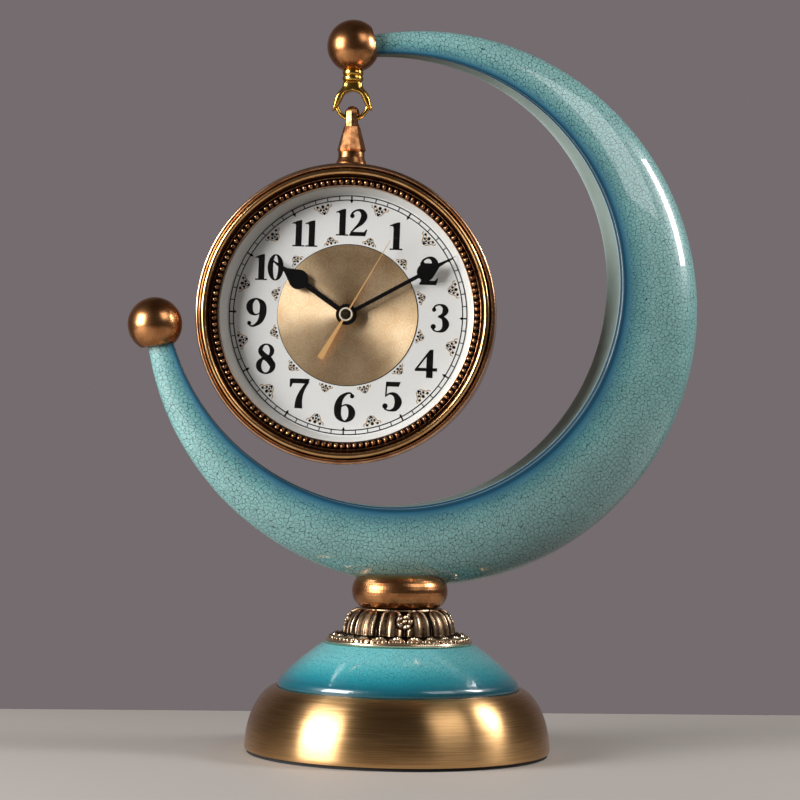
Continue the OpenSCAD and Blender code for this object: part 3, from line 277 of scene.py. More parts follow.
@dataclass(frozen=True)
class CrackledGlaze(Finish):
    """Fired crackle glaze: broken dark hairlines under a wet-looking coat, pooled darker under the rim."""

    crack: str
    stops: tuple[tuple[float, str], ...]
    # Size of a cell and its stretch, where cracks start, their width in cells, where the gloss starts
    cell_mm: float
    run: float
    crack_from: float
    line: float
    wet_from: float = 0.0

    def cracks(
        self, tree: bpy.types.NodeTree, reach: bpy.types.NodeSocket, run: bpy.types.NodeSocket
    ) -> bpy.types.NodeSocket:
        """Draws two nets of cracks, a coarse one and a finer one in the places that it leaves.

        Args:
            tree: The material's nodes.
            reach: The share from rim to face.
            run: The place along and round the piece, in millimetres.

        Returns:
            How strongly a crack shows.
        """
        wobble = add(tree, "TexNoise", wires={"Vector": run, "Scale": 0.35, "Detail": 2.0})
        bend = {0: wobble.outputs["Color"], 1: (2.6, 2.6, 0.0), 2: run}
        bent = add(tree, "VectorMath", {"operation": "MULTIPLY_ADD"}, bend)
        scale = (1 / self.cell_mm / self.run, 1 / self.cell_mm, 0.0)
        cells = add(tree, "Mapping", wires={"Vector": bent.outputs[0], "Scale": scale})
        gaps = add(tree, "TexNoise", wires={"Vector": run, "Scale": 0.45, "Detail": 2.0})
        nets = []
        # Fineness and darkness of each net, and how it comes or goes with the gaps
        for size, dark, fade in (
            (1.0, 1.0, {1: 0.36, 2: 0.5, 3: 0.15, 4: 1.0}),
            (1.9, 0.7, {1: 0.45, 2: 0.6, 3: 1.0, 4: 0.0}),
        ):
            veins = add(
                tree,
                "TexVoronoi",
                {"feature": "DISTANCE_TO_EDGE", "voronoi_dimensions": "2D"},
                {"Vector": cells.outputs[0], "Scale": size},
            )
            drawn = {0: veins.outputs["Distance"], 1: self.line / 5, 2: self.line, 3: dark, 4: 0.0}
            line = add(tree, "MapRange", wires=drawn)
            seen = add(tree, "MapRange", wires={0: gaps.outputs[0], **fade})
            product = {0: line.outputs[0], 1: seen.outputs[0]}
            nets.append(add(tree, "Math", {"operation": "MULTIPLY"}, product).outputs[0])
        both = add(tree, "Math", {"operation": "MAXIMUM"}, dict(enumerate(nets)))
        face = add(tree, "MapRange", wires={0: reach, 1: self.crack_from, 2: self.crack_from + 0.12})
        product = {0: both.outputs[0], 1: face.outputs[0]}
        return add(tree, "Math", {"operation": "MULTIPLY"}, product).outputs[0]

    def dress(self, tree: bpy.types.NodeTree, shader: bpy.types.Node) -> None:
        """Colours the glaze by its distance from the rim and draws the crackle in it.

        Args:
            tree: The material's nodes.
            shader: Its Principled shader.
        """
        reach = add(tree, "Attribute", {"attribute_name": "from_rim"}).outputs["Fac"]
        run = add(tree, "Attribute", {"attribute_name": "run"}).outputs["Vector"]
        lines = self.cracks(tree, reach, run)
        body = add(tree, "ValToRGB", wires={0: reach}, stops=self.stops)
        cloud = add(tree, "TexNoise", wires={"Vector": run, "Scale": 0.03, "Detail": 3.0})
        depth = add(tree, "MapRange", wires={0: cloud.outputs[0], 1: 0.3, 2: 0.7, 3: 0.86, 4: 1.08})
        tinted = add(
            tree,
            "Mix",
            {"data_type": "RGBA", "blend_type": "MULTIPLY"},
            {0: 1.0, 6: body.outputs[0], 7: depth.outputs[0]},
        )
        cracked = add(
            tree, "Mix", {"data_type": "RGBA"}, {0: lines, 6: tinted.outputs[2], 7: linear(self.crack)}
        )
        sunk = {"Height": lines, "Distance": 0.03 * MM, "Strength": 0.5}
        bump = add(tree, "Bump", {"invert": True}, sunk)
        wires = {
            "IOR": 1.5,
            "Coat Weight": 1.0,
            "Coat Roughness": 0.03,
            "Coat IOR": 1.52,
            "Base Color": cracked.outputs[2],
            "Normal": bump.outputs[0],
        }
        if self.wet_from:
            # The hollow wall has only a thin, dull wash of glaze
            wet = {0: reach, 1: self.wet_from, 2: self.wet_from + 0.15}
            wires["Coat Weight"] = add(tree, "MapRange", wires={**wet, 3: 0.03, 4: 1.0}).outputs[0]
            dull = add(tree, "MapRange", wires={**wet, 3: 0.7, 4: self.roughness})
            wires["Roughness"] = dull.outputs[0]
        join(tree, shader, wires)


@dataclass(frozen=True)
class MouldedPlastic(Finish):
    """Injection-moulded plastic: one colour through, with the fine spark texture of the tool on it."""

    grain_mm: float = 0.5
    relief_mm: float = 0.02

    def dress(self, tree: bpy.types.NodeTree, shader: bpy.types.Node) -> None:
        """Adds the tool's texture to relief and roughness.

        Args:
            tree: The material's nodes.
            shader: Its Principled shader.
        """
        place = add(tree, "TexCoord").outputs["Object"]
        # Spark texture is about 0.1 mm; it is drawn coarser so that it shows
        grain_scale = 1 / (self.grain_mm * MM)
        noise = add(tree, "TexNoise", wires={"Vector": place, "Scale": grain_scale, "Detail": 2.0})
        grain = noise.outputs[0]
        rough = add(
            tree, "MapRange", wires={0: grain, 3: self.roughness * 0.85, 4: self.roughness * 1.15}
        )
        height = {"Height": grain, "Distance": self.relief_mm * MM, "Strength": 0.5}
        bump = add(tree, "Bump", wires=height)
        join(tree, shader, {"IOR": 1.5, "Roughness": rough.outputs[0], "Normal": bump.outputs[0]})


@dataclass(frozen=True)
class StovedLacquer(Finish):
    """Sprayed and stoved lacquer: even colour with a soft gloss and the faintest orange peel."""

    peel_mm: float = 1.5
    coat: float = 0.6

    def dress(self, tree: bpy.types.NodeTree, shader: bpy.types.Node) -> None:
        """Adds the orange peel under the gloss.

        Args:
            tree: The material's nodes.
            shader: Its Principled shader.
        """
        place = add(tree, "TexCoord").outputs["Object"]
        peel_scale = 1 / (self.peel_mm * MM)
        peel = add(tree, "TexNoise", wires={"Vector": place, "Scale": peel_scale, "Detail": 1.0})
        height = {"Height": peel.outputs[0], "Distance": 0.01 * MM, "Strength": 0.4}
        bump = add(tree, "Bump", wires=height)
        wires = {"Coat Weight": self.coat, "Coat Roughness": 0.1, "Normal": bump.outputs[0]}
        join(tree, shader, wires)


@dataclass(frozen=True)
class DeskTop(Finish):
    """Painted desk top, pale and matt to the eye and in mirrors, which throws little light upwards."""

    thrown: str

    def dress(self, tree: bpy.types.NodeTree, shader: bpy.types.Node) -> None:
        """Shows the pale colour to straight and mirrored rays, and the dark one to scattered light.

        Args:
            tree: The material's nodes.
            shader: Its Principled shader.
        """
        ray = add(tree, "LightPath").outputs
        mirrored = add(
            tree, "Math", {"operation": "MAXIMUM"}, {0: ray["Is Glossy Ray"], 1: ray["Is Transmission Ray"]}
        )
        seen = add(
            tree, "Math", {"operation": "MAXIMUM"}, {0: mirrored.outputs[0], 1: ray["Is Camera Ray"]}
        )
        colours = {0: seen.outputs[0], 6: linear(self.thrown), 7: linear(self.colour)}
        tone = add(tree, "Mix", {"data_type": "RGBA"}, colours)
        join(tree, shader, {"Base Color": tone.outputs[2]})


@dataclass(frozen=True)
class MilledMetal(Finish):
    """Milled, stamped or drawn metal left bare: short tool marks and a plain metallic grey or yellow."""

    mark_mm: float = 0.4

    def dress(self, tree: bpy.types.NodeTree, shader: bpy.types.Node) -> None:
        """Adds tool marks to relief and roughness.

        Args:
            tree: The material's nodes.
            shader: Its Principled shader.
        """
        place = add(tree, "TexCoord").outputs["Object"]
        # Tool marks of 0.05 mm are drawn wider so that they show
        mark_scale = 0.3 / (self.mark_mm * MM)
        wave = add(
            tree,
            "TexWave",
            {"wave_type": "BANDS", "bands_direction": "DIAGONAL"},
            {"Vector": place, "Scale": mark_scale, "Distortion": 3.0, "Detail": 2.0},
        )
        marks = wave.outputs["Fac"]
        rough = add(
            tree, "MapRange", wires={0: marks, 3: self.roughness * 0.8, 4: self.roughness * 1.2}
        )
        bump = add(tree, "Bump", wires={"Height": marks, "Distance": 0.01 * MM, "Strength": 0.4})
        wires = {"Metallic": 1.0, "Roughness": rough.outputs[0], "Normal": bump.outputs[0]}
        join(tree, shader, wires)


@dataclass(frozen=True)
class ClearGlass(Finish):
    """Pressed clear glass: what lies behind shows through, and a lamp's picture lies on it at a slant."""

    least: float = 0.04

    def dress(self, tree: bpy.types.NodeTree, shader: bpy.types.Node) -> None:
        """Mixes a clear shader with a mirror that grows towards the edge of sight.

        Args:
            tree: The material's nodes.
            shader: Its Principled shader, which isn't used.
        """
        clear = add(tree, "BsdfTransparent")
        mirror = add(tree, "BsdfGlossy", wires={"Roughness": self.roughness})
        # A Fresnel node would black out slanting light at the inner face, so its curve is drawn here
        slant = add(tree, "LayerWeight", wires={"Blend": 0.5})
        rise = add(tree, "Math", {"operation": "POWER"}, {0: slant.outputs["Facing"], 1: 5.0})
        curve = {0: rise.outputs[0], 1: 1 - self.least, 2: self.least}
        share = add(tree, "Math", {"operation": "MULTIPLY_ADD"}, curve)
        layers = {0: share.outputs[0], 1: clear.outputs[0], 2: mirror.outputs[0]}
        mix = add(tree, "MixShader", wires=layers)
        tree.nodes.remove(shader)
        tree.links.new(mix.outputs[0], tree.nodes["Material Output"].inputs["Surface"])


# Spun brass, brushed as it turned: tall soft bands of light that fade into tan at both sides
BASE_BRASS = SpunBrushedMetal("base_brass", "#dcb07c", 0.3, "#b98f5c", stretch=0.88)
# Gold-plated disc with a circular brush: a pale, even glow, on which the etched lines stand lighter
DISC_GOLD = SpunBrushedMetal("dial_disc_gold", "#efd2a8", 0.48, "#dcb98c", line_mm=0.25, stretch=0.82)
ETCHED_CREAM = SpunBrushedMetal("etched_cream", "#fff2d8", 0.42, "#f2dab4", line_mm=0.25, stretch=0.82)
# Copper bronze plate, darkened and rubbed back: warm brown shade and coppery light on the rounds
BRONZE = PatinatedMetal("satin_bronze", "#c48a5a", 0.27, "#94603a")
COPPER = PatinatedMetal("copper_bronze", "#dcac88", 0.24, "#b27e58", coat=0.2, grain=0.02)
# Painted shade: the pendant's copper is a darker copy, standing in for the shade on its facets
PENDANT_PAINTED_SHADE = PatinatedMetal("copper_painted_shade", "#bd8458", 0.3, "#6a4022", cloud_mm=4.0, grain=0.02)
# The bezel's other turnings: gold plate that flashes, blackened grooves, small bright beads, and a slope in
# painted shade
GOLD = PatinatedMetal("bright_gold_plate", "#e6b880", 0.2, "#c8925a", grain=0.08)
PATINA = PatinatedMetal("dark_patina", "#2e1b10", 0.4, "#180e08")
BEADING = PatinatedMetal("beading", "#a87c58", 0.17, "#4a301e", cloud_mm=2.0, grain=0.05)
# Painted shade: a dark brown copy of the copper for the bezel's slope inside the gold ring
SLOPE_PAINTED_SHADE = PatinatedMetal("slope_painted_shade", "#6b4426", 0.3, "#3c2413")
# Polished brass of the clasp: yellow beside the copper, with hard small lights
HANGER_BRASS = PatinatedMetal("hanger_brass", "#e2b455", 0.2, "#b98830")
# Darkened brass on the cap: an olive disc that takes hardly any light
HUB_OLIVE = PatinatedMetal("hub_olive", "#5d5136", 0.3, "#3f3723", cloud_mm=3.0)
# Blackened and rubbed casting: silvery edges over a ground that is nearly black
COLLAR_BRASS = AntiqueCastBrass("antique_cast_brass", "#8c6e52", 0.3, "#100a06", "#ecd6b8")
# Celadon crackle glaze: a wet blue-green face with broken dark hairlines, and deep teal under the rim.
# The stops go from the hollow wall at 0 over its bright edge at 0.25 and the dark rim to the face at 1, with
# painted light on the wall and a painted highlight line in the rim
CRESCENT_GLAZE = CrackledGlaze(
    "crescent_glaze",
    "#9dc9c9",
    0.32,
    crack="#17434a",
    stops=(
        # Painted light: the hollow wall lightens towards its edge, as if more light fell there
        (0.0, "#97a9a1"),
        (0.2, "#b2c2ba"),
        (0.235, "#c4d8d4"),
        (0.25, "#d8f4fa"),
        (0.275, "#86c6d8"),
        (0.29, "#0b3a52"),
        (0.395, "#0b3448"),
        # Painted highlight: the thin pale line in the middle of the dark rim stands in for a lamp's
        # reflection on the roll
        (0.405, "#6fa2b2"),
        (0.415, "#0b3448"),
        (0.5, "#124c66"),
        (0.535, "#34708c"),
        (0.6, "#5790a0"),
        (0.76, "#78b2b2"),
        (1.0, "#94c6c2"),
    ),
    cell_mm=2.4,
    run=0.8,
    crack_from=0.52,
    line=0.1,
    wet_from=0.36,
)
# The same glaze on the plinth: deep turquoise pooled at the edge, clearing to light blue above
PLINTH_GLAZE = CrackledGlaze(
    "plinth_glaze",
    "#3ea9b6",
    0.3,
    crack="#17616e",
    stops=((0.0, "#0a4450"), (0.3, "#0f6474"), (0.5, "#1f8b98"), (0.75, "#49a9b0"), (1.0, "#6dbcc0")),
    cell_mm=3.6,
    run=0.45,
    crack_from=0.02,
    line=0.06,
)
# Moulded parts: dull black rubber, white plastic that lights up the dial's rim, black and ivory cases
RUBBER = MouldedPlastic("foot_rubber", "#1b1a19", 0.8, grain_mm=0.8, relief_mm=0.05)
FLANGE_WHITE = MouldedPlastic("flange_plastic", "#ecebe7", 0.4, grain_mm=0.6, relief_mm=0.01)
ABS = MouldedPlastic("black_abs", "#1d1d1e", 0.5)
ACETAL = MouldedPlastic("ivory_acetal", "#e7dfcb", 0.35)
# Bare metals inside: grey iron, bluish zinc plate, yellow turned brass, copper wire, pale aluminium
IRON = MilledMetal("ballast_iron", "#4a4b4d", 0.6, mark_mm=1.2)
ZINC = MilledMetal("zinc_plated_steel", "#b9bcc0", 0.35)
TURNED_BRASS = MilledMetal("machined_brass", "#c9a655", 0.25)
WIRE = MilledMetal("copper_wire", "#b4622f", 0.3, mark_mm=0.25)
ALUMINIUM = MilledMetal("bridge_aluminium", "#b5b8ba", 0.35)
# Pressed glass: nothing of its own but a faint light at a slant
GLASS = ClearGlass("clear_glass", "#ffffff", 0.01)
# White enamelled dial, quite dull, with crisp black and gold print on it
ENAMEL = StovedLacquer("dial_enamel", "#f1f1ee", 0.45, coat=0.2)
INK = StovedLacquer("printed_black", "#0a0807", 0.26, coat=0.0)
ORNAMENT_GOLD = StovedLacquer("printed_gold", "#a98243", 0.45, coat=0.3)
# Lacquered and painted parts: hands in deep black and rose gold, dark cover, green board, cell
LACQUER = StovedLacquer("hand_lacquer", "#070708", 0.24, coat=0.0)
ROSE_GOLD = StovedLacquer("rose_gold_paint", "#e0ae70", 0.35)
HUB_CREAM = StovedLacquer("hub_cream", "#e8dcc4", 0.3)
COVER_LACQUER = StovedLacquer("cover_lacquer", "#201d1b", 0.5, peel_mm=2.0)
LAMINATE = StovedLacquer("green_laminate", "#1f5a3a", 0.4)
SLEEVE = StovedLacquer("cell_sleeve", "#2c4f8c", 0.35)
# The plain desk top: pale and matt, without a pattern
DESK_PALE = DeskTop("desk_top", "#b4ada7", 0.6, thrown="#3a3532")

# What the record's slots look like on the solids that keep their own mesh
BY_SLOT: dict[str, Finish] = {
    "black_foot_rubber": RUBBER,
    "ballast_iron": IRON,
    "zinc_plated_steel": ZINC,
    "satin_bronze": BRONZE,
    "polished_hanger_brass": HANGER_BRASS,
    "copper_bronze": COPPER,
    "clear_glass": GLASS,
    "white_flange_plastic": FLANGE_WHITE,
    "white_dial_enamel": ENAMEL,
    "black_hand_lacquer": LACQUER,
    "rose_gold_hand": ROSE_GOLD,
    "black_cover_lacquer": COVER_LACQUER,
    "black_abs": ABS,
    "ivory_acetal": ACETAL,
    "machined_brass": TURNED_BRASS,
    "bridge_aluminium": ALUMINIUM,
    "green_laminate": LAMINATE,
    "enamelled_copper_wire": WIRE,
    "cell_sleeve": SLEEVE,
}
# The pendant gets a darker copy of the copper: painted shade for its shaded facets
BY_PIECE: dict[str, Finish] = {"pendant_eye": PENDANT_PAINTED_SHADE, "pendant": PENDANT_PAINTED_SHADE}


class Seam(Enum):
    """How a grid of points closes, in its rows and in its columns."""

    ROUND = (False, True)
    TORUS = (True, True)


def grid(rows: int, cols: int, seam: Seam) -> np.ndarray:
    """Gives the four-sided faces of a grid of points.

    Args:
        rows: Number of rows of points.
        cols: Number of points in a row.
        seam: How the grid closes.

    Returns:
        Point numbers of each face.
    """
    last_row, last_col = seam.value
    i = np.arange(rows if last_row else rows - 1)[:, None]
    j = np.arange(cols if last_col else cols - 1)[None, :]
    near, far = i * cols, (i + 1) % rows * cols
    step = (j + 1) % cols
    return np.stack([near + j, near + step, far + step, far + j], axis=-1).reshape(-1, 4)


def spline(path: Sequence[Sequence[float]], smooth: int) -> np.ndarray:
    """Runs a smooth curve through points.

    Args:
        path: The points, with any numbers of values each.
        smooth: Number of steps between two points.

    Returns:
        The curve's points.
    """
    p = np.array(path, float)
    if len(p) < 3 or smooth == 1:
        return p
    ends = np.vstack([2 * p[0] - p[1], p, 2 * p[-1] - p[-2]])
    t = np.linspace(0, 1, smooth, endpoint=False)[:, None]
    parts = []
    for a, b, c, d in zip(ends, ends[1:], ends[2:], ends[3:]):
        parts.append(
            (2 * b + (c - a) * t + (2 * a - 5 * b + 4 * c - d) * t**2 + (3 * b - a - 3 * c + d) * t**3) / 2
        )
    return np.vstack([*parts, p[-1:]])


@dataclass
class Shape:
    """A mesh under way in millimetres, with a finish for each face and named values for each point."""

    points: list[np.ndarray] = field(default_factory=list)
    faces: list[tuple[int, ...]] = field(default_factory=list)
    finish_of: list[int] = field(default_factory=list)
    values: dict[str, list[np.ndarray]] = field(default_factory=dict)
    count: int = 0

    def put(
        self,
        points: np.ndarray,
        faces: Sequence[Sequence[int]],
        finish: int | Sequence[int] = 0,
        **values: np.ndarray,
    ) -> None:
        """Adds points and faces.

        Args:
            points: The points, one a row.
            faces: Numbers of points, counted from the first of these.
            finish: The number of the finish, of all faces or of each.
            **values: A number or a vector for each point, by name.
        """
        self.points.append(np.asarray(points, float))
        self.faces += [tuple(int(k) + self.count for k in face) for face in faces]
        self.finish_of += [finish] * len(faces) if isinstance(finish, int) else list(finish)
        for name, value in values.items():
            self.values.setdefault(name, []).append(np.asarray(value, float))
        self.count += len(points)

    def turn(
        self,
        profile: Sequence[tuple[float, float]],
        steps: int,
        finish: int | Sequence[int] = 0,
    ) -> None:
        """Adds a closed solid turned about Z.

        Args:
            profile: Radius and height of each point of the closed outline.
            steps: Number of steps round.
            finish: The number of the finish, of all stretches of the outline or of each.
        """
        rim = np.array(profile)
        a = np.linspace(0, FULL_TURN, steps, endpoint=False)
        ring = np.stack([np.cos(a), np.sin(a)], axis=-1)
        levels = np.broadcast_to(rim[:, None, 1:], (len(rim), steps, 1))
        points = np.concatenate([rim[:, None, :1] * ring[None], levels], axis=-1)
        each = finish if isinstance(finish, int) else np.repeat(finish, steps).tolist()
        self.put(points.reshape(-1, 3), grid(len(rim), steps, Seam.TORUS), each)

    def ball(
        self,
        centre: Sequence[float],
        reach: Sequence[float],
        turn: float,
        rows: int = 9,
        cols: int = 16,
    ) -> None:
        """Adds a small rounded bead.

        Args:
            centre: Its middle.
            reach: Its three half sizes.
            turn: Its angle about Z, in radians.
            rows: Number of rows from pole to pole.
            cols: Number of points in a row.
        """
        b = np.linspace(-math.pi / 2, math.pi / 2, rows)[:, None]
        a = np.linspace(0, FULL_TURN, cols, endpoint=False)[None]
        x, y = reach[0] * np.cos(b) * np.cos(a), reach[1] * np.cos(b) * np.sin(a)
        z = reach[2] * np.sin(b) * np.ones_like(a)
        c, s = math.cos(turn), math.sin(turn)
        points = np.stack([x * c - y * s, x * s + y * c, z], axis=-1).reshape(-1, 3) + np.array(centre)
        self.put(points, grid(rows, cols, Seam.ROUND))

    def plate(self, outline: Sequence[Sequence[float]], low: float, high: float) -> None:
        """Adds a flat plate with upright sides.

        Args:
            outline: Its corners, counter-clockwise.
            low: Height of its underside.
            high: Height of its top.
        """
        flat = np.array([[p[0], p[1]] for p in outline], float)
        n = len(flat)
        points = np.concatenate([np.c_[flat, np.full(n, low)], np.c_[flat, np.full(n, high)]])
        sides = [(k, (k + 1) % n, n + (k + 1) % n, n + k) for k in range(n)]
        self.put(points, [*sides, tuple(range(n, 2 * n)), tuple(range(n - 1, -1, -1))])

    def stroke(self, path: Sequence[Sequence[float]], low: float, high: float, smooth: int = 8) -> None:
        """Adds a flat stroke whose width changes along a smooth path.

        Args:
            path: Place and width of each point that the stroke goes through.
            low: Height of its underside.
            high: Height of its top.
            smooth: Number of steps between two points.
        """
        line = spline(path, smooth)
        along = np.gradient(line[:, :2], axis=0)
        along /= np.linalg.norm(along, axis=1)[:, None] + 1e-9
        across = np.c_[-along[:, 1], along[:, 0]] * line[:, 2:3] / 2
        left, right = line[:, :2] + across, line[:, :2] - across
        n = len(line)
        heights = [(left, high), (right, high), (right, low), (left, low)]
        points = np.concatenate([np.c_[side, np.full(n, z)] for side, z in heights])
        faces = []
        for k in range(4):
            here, there = k * n, (k + 1) % 4 * n
            faces += [(here + i, there + i, there + i + 1, here + i + 1) for i in range(n - 1)]
        faces += [(3 * n, 2 * n, n, 0), (n - 1, 2 * n - 1, 3 * n - 1, 4 * n - 1)]
        self.put(points, faces)

    def piece(
        self,
        name: str,
        finishes: Sequence[Finish],
        body: str,
        slot: str,
        place: Matrix,
        nodes: Sequence[str] = (),
        sharp: float = 35.0,
    ) -> None:
        """Makes the Blender object, dresses it and puts it on its body.

        Args:
            name: The object's name.
            finishes: Its finishes, in the order that the faces number them.
            body: The body that it rides on.
            slot: The record's slot for its finish.
            place: Where it stands, in metres.
            nodes: The CAD nodes that it stands for.
            sharp: Angle in degrees over which an edge stays sharp.
        """
        points = np.concatenate(self.points) * MM
        mesh = bpy.data.meshes.new(name)
        mesh.from_pydata(points.tolist(), [], self.faces)
        for finish in finishes:
            mesh.materials.append(finish.material())
        mesh.polygons.foreach_set("material_index", self.finish_of)
        mesh.polygons.foreach_set("use_smooth", [True] * len(self.faces))
        for title, parts in self.values.items():
            data = np.concatenate(parts)
            kind = "FLOAT" if data.ndim == 1 else "FLOAT_VECTOR"
            layer = mesh.attributes.new(title, kind, "POINT")
            layer.data.foreach_set("value" if data.ndim == 1 else "vector", data.ravel())
        mesh.validate()
        mesh.set_sharp_from_angle(angle=math.radians(sharp))
        made = bpy.data.objects.new(name, mesh)
        bpy.context.scene.collection.objects.link(made)
        made.matrix_world = place
        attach(made, body)
        if nodes:
            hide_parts(*nodes)
        LOG.info("%s: %d faces on %s", name, len(self.faces), body)


@dataclass
class Base:
    """The spun brass shell and the glazed plinth over it."""

    foot_r: float = 75.0
    top_r: float = 60.5
    foot_z: float = 1.5
    height: float = 30.5
    bulge: float = 0.62
    lip: float = 1.0
    wall: float = 1.6
    bore_r: float = 4.3
    plinth_r: float = 59.3
    plinth_top_r: float = 37.5
    plinth_z: float = 31.0
    plinth_top_z: float = 53.5
    plinth_wall: float = 5.0
    roof_in: float = 16.0
    # The rolled shoulder over the lower edge: radius and lean, then the edge's own rounding and band
    shoulder: float = 4.6
    shoulder_lean: float = 52.0
    tuck: float = 1.4
    band: float = 0.6
    swell: float = 0.9
    # Height over which the glaze pools, and the radius at which the crackle runs round
    pool_mm: float = 17.0
    crackle_r: int = 48

    def shell(self) -> None:
        """Turns the brushed shell with its rolled foot edge and its fine top lip."""
        t = np.sin(np.linspace(0, math.pi / 2, 40))
        r = self.top_r + (self.foot_r - self.top_r) * (1 - t**2) ** self.bulge
        z = self.foot_z + self.height * t
        rim = [(self.foot_r - 1.2, self.foot_z), (self.foot_r - 0.35, self.foot_z + 0.12)]
        outside = [(a, b) for a, b in zip(r, z) if b > self.foot_z + 0.5]
        top = self.foot_z + self.height
        deck = top - self.lip
        lip_r = self.top_r - self.lip
        lip = [(self.top_r - 0.25, top), (lip_r, top - 0.1), (lip_r, deck)]
        under = deck - self.wall
        inside = [(a - self.wall, min(b, under)) for a, b in reversed(outside)]
        shape = Shape()
        shape.turn([*rim, *outside[:-1], *lip, (self.bore_r, deck), (self.bore_r, under), *inside], 192)
        shape.piece(
            "base_shell_brushed", [BASE_BRASS], "stand", "brushed_base_brass", Matrix(), ["base_shell"]
        )

    def plinth(self) -> None:
        """Turns the glazed plinth, its glaze pooled at the lower edge."""
        roll, tuck = self.shoulder, self.tuck
        middle = self.plinth_z + tuck + self.band
        lean = math.radians(self.shoulder_lean)
        end_r, end_z = self.plinth_r - roll * (1 - math.cos(lean)), middle + roll * math.sin(lean)
        t = np.linspace(0, 1, 30)[:-1]
        slope_r = self.plinth_top_r + (end_r - self.plinth_top_r) * t
        slope_z = self.plinth_top_z + (end_z - self.plinth_top_z) * t + self.swell * np.sin(math.pi * t)
        a = np.linspace(lean, 0, 12)
        b = np.linspace(0, math.pi / 2, 10)
        edge_r = self.plinth_r - np.r_[roll * (1 - np.cos(a)), tuck * (1 - np.cos(b))]
        edge_z = np.r_[middle + roll * np.sin(a), self.plinth_z + tuck * (1 - np.sin(b))]
        inner = self.plinth_r - self.plinth_wall
        roof = self.plinth_top_z - self.plinth_wall
        rim = (
            [(self.bore_r, self.plinth_top_z)]
            + list(zip(slope_r, slope_z))
            + list(zip(edge_r, edge_z))
            + [(inner, self.plinth_z), (inner - self.roof_in, roof), (self.bore_r, roof)]
        )
        run = np.r_[0, np.cumsum(np.hypot(*np.diff(np.array(rim), axis=0).T))]
        z = np.array(rim)[:, 1]
        reach = np.clip((z - self.plinth_z) / self.pool_mm, 0, 1)
        steps = 160
        turn = np.arange(steps) / steps * FULL_TURN * self.crackle_r
        shape = Shape()
        shape.turn(rim, steps)
        shape.values["from_rim"] = [np.repeat(reach, steps)]
        flat = np.zeros(steps * len(rim))
        shape.values["run"] = [np.stack([np.tile(turn, len(rim)), np.repeat(run, steps), flat], axis=-1)]
        shape.piece(
            "plinth_glazed", [PLINTH_GLAZE], "stand", "turquoise_glaze", Matrix(), ["glazed_plinth"]
        )

    def build(self) -> None:
        """Builds the shell and the plinth."""
        self.shell()
        self.plinth()


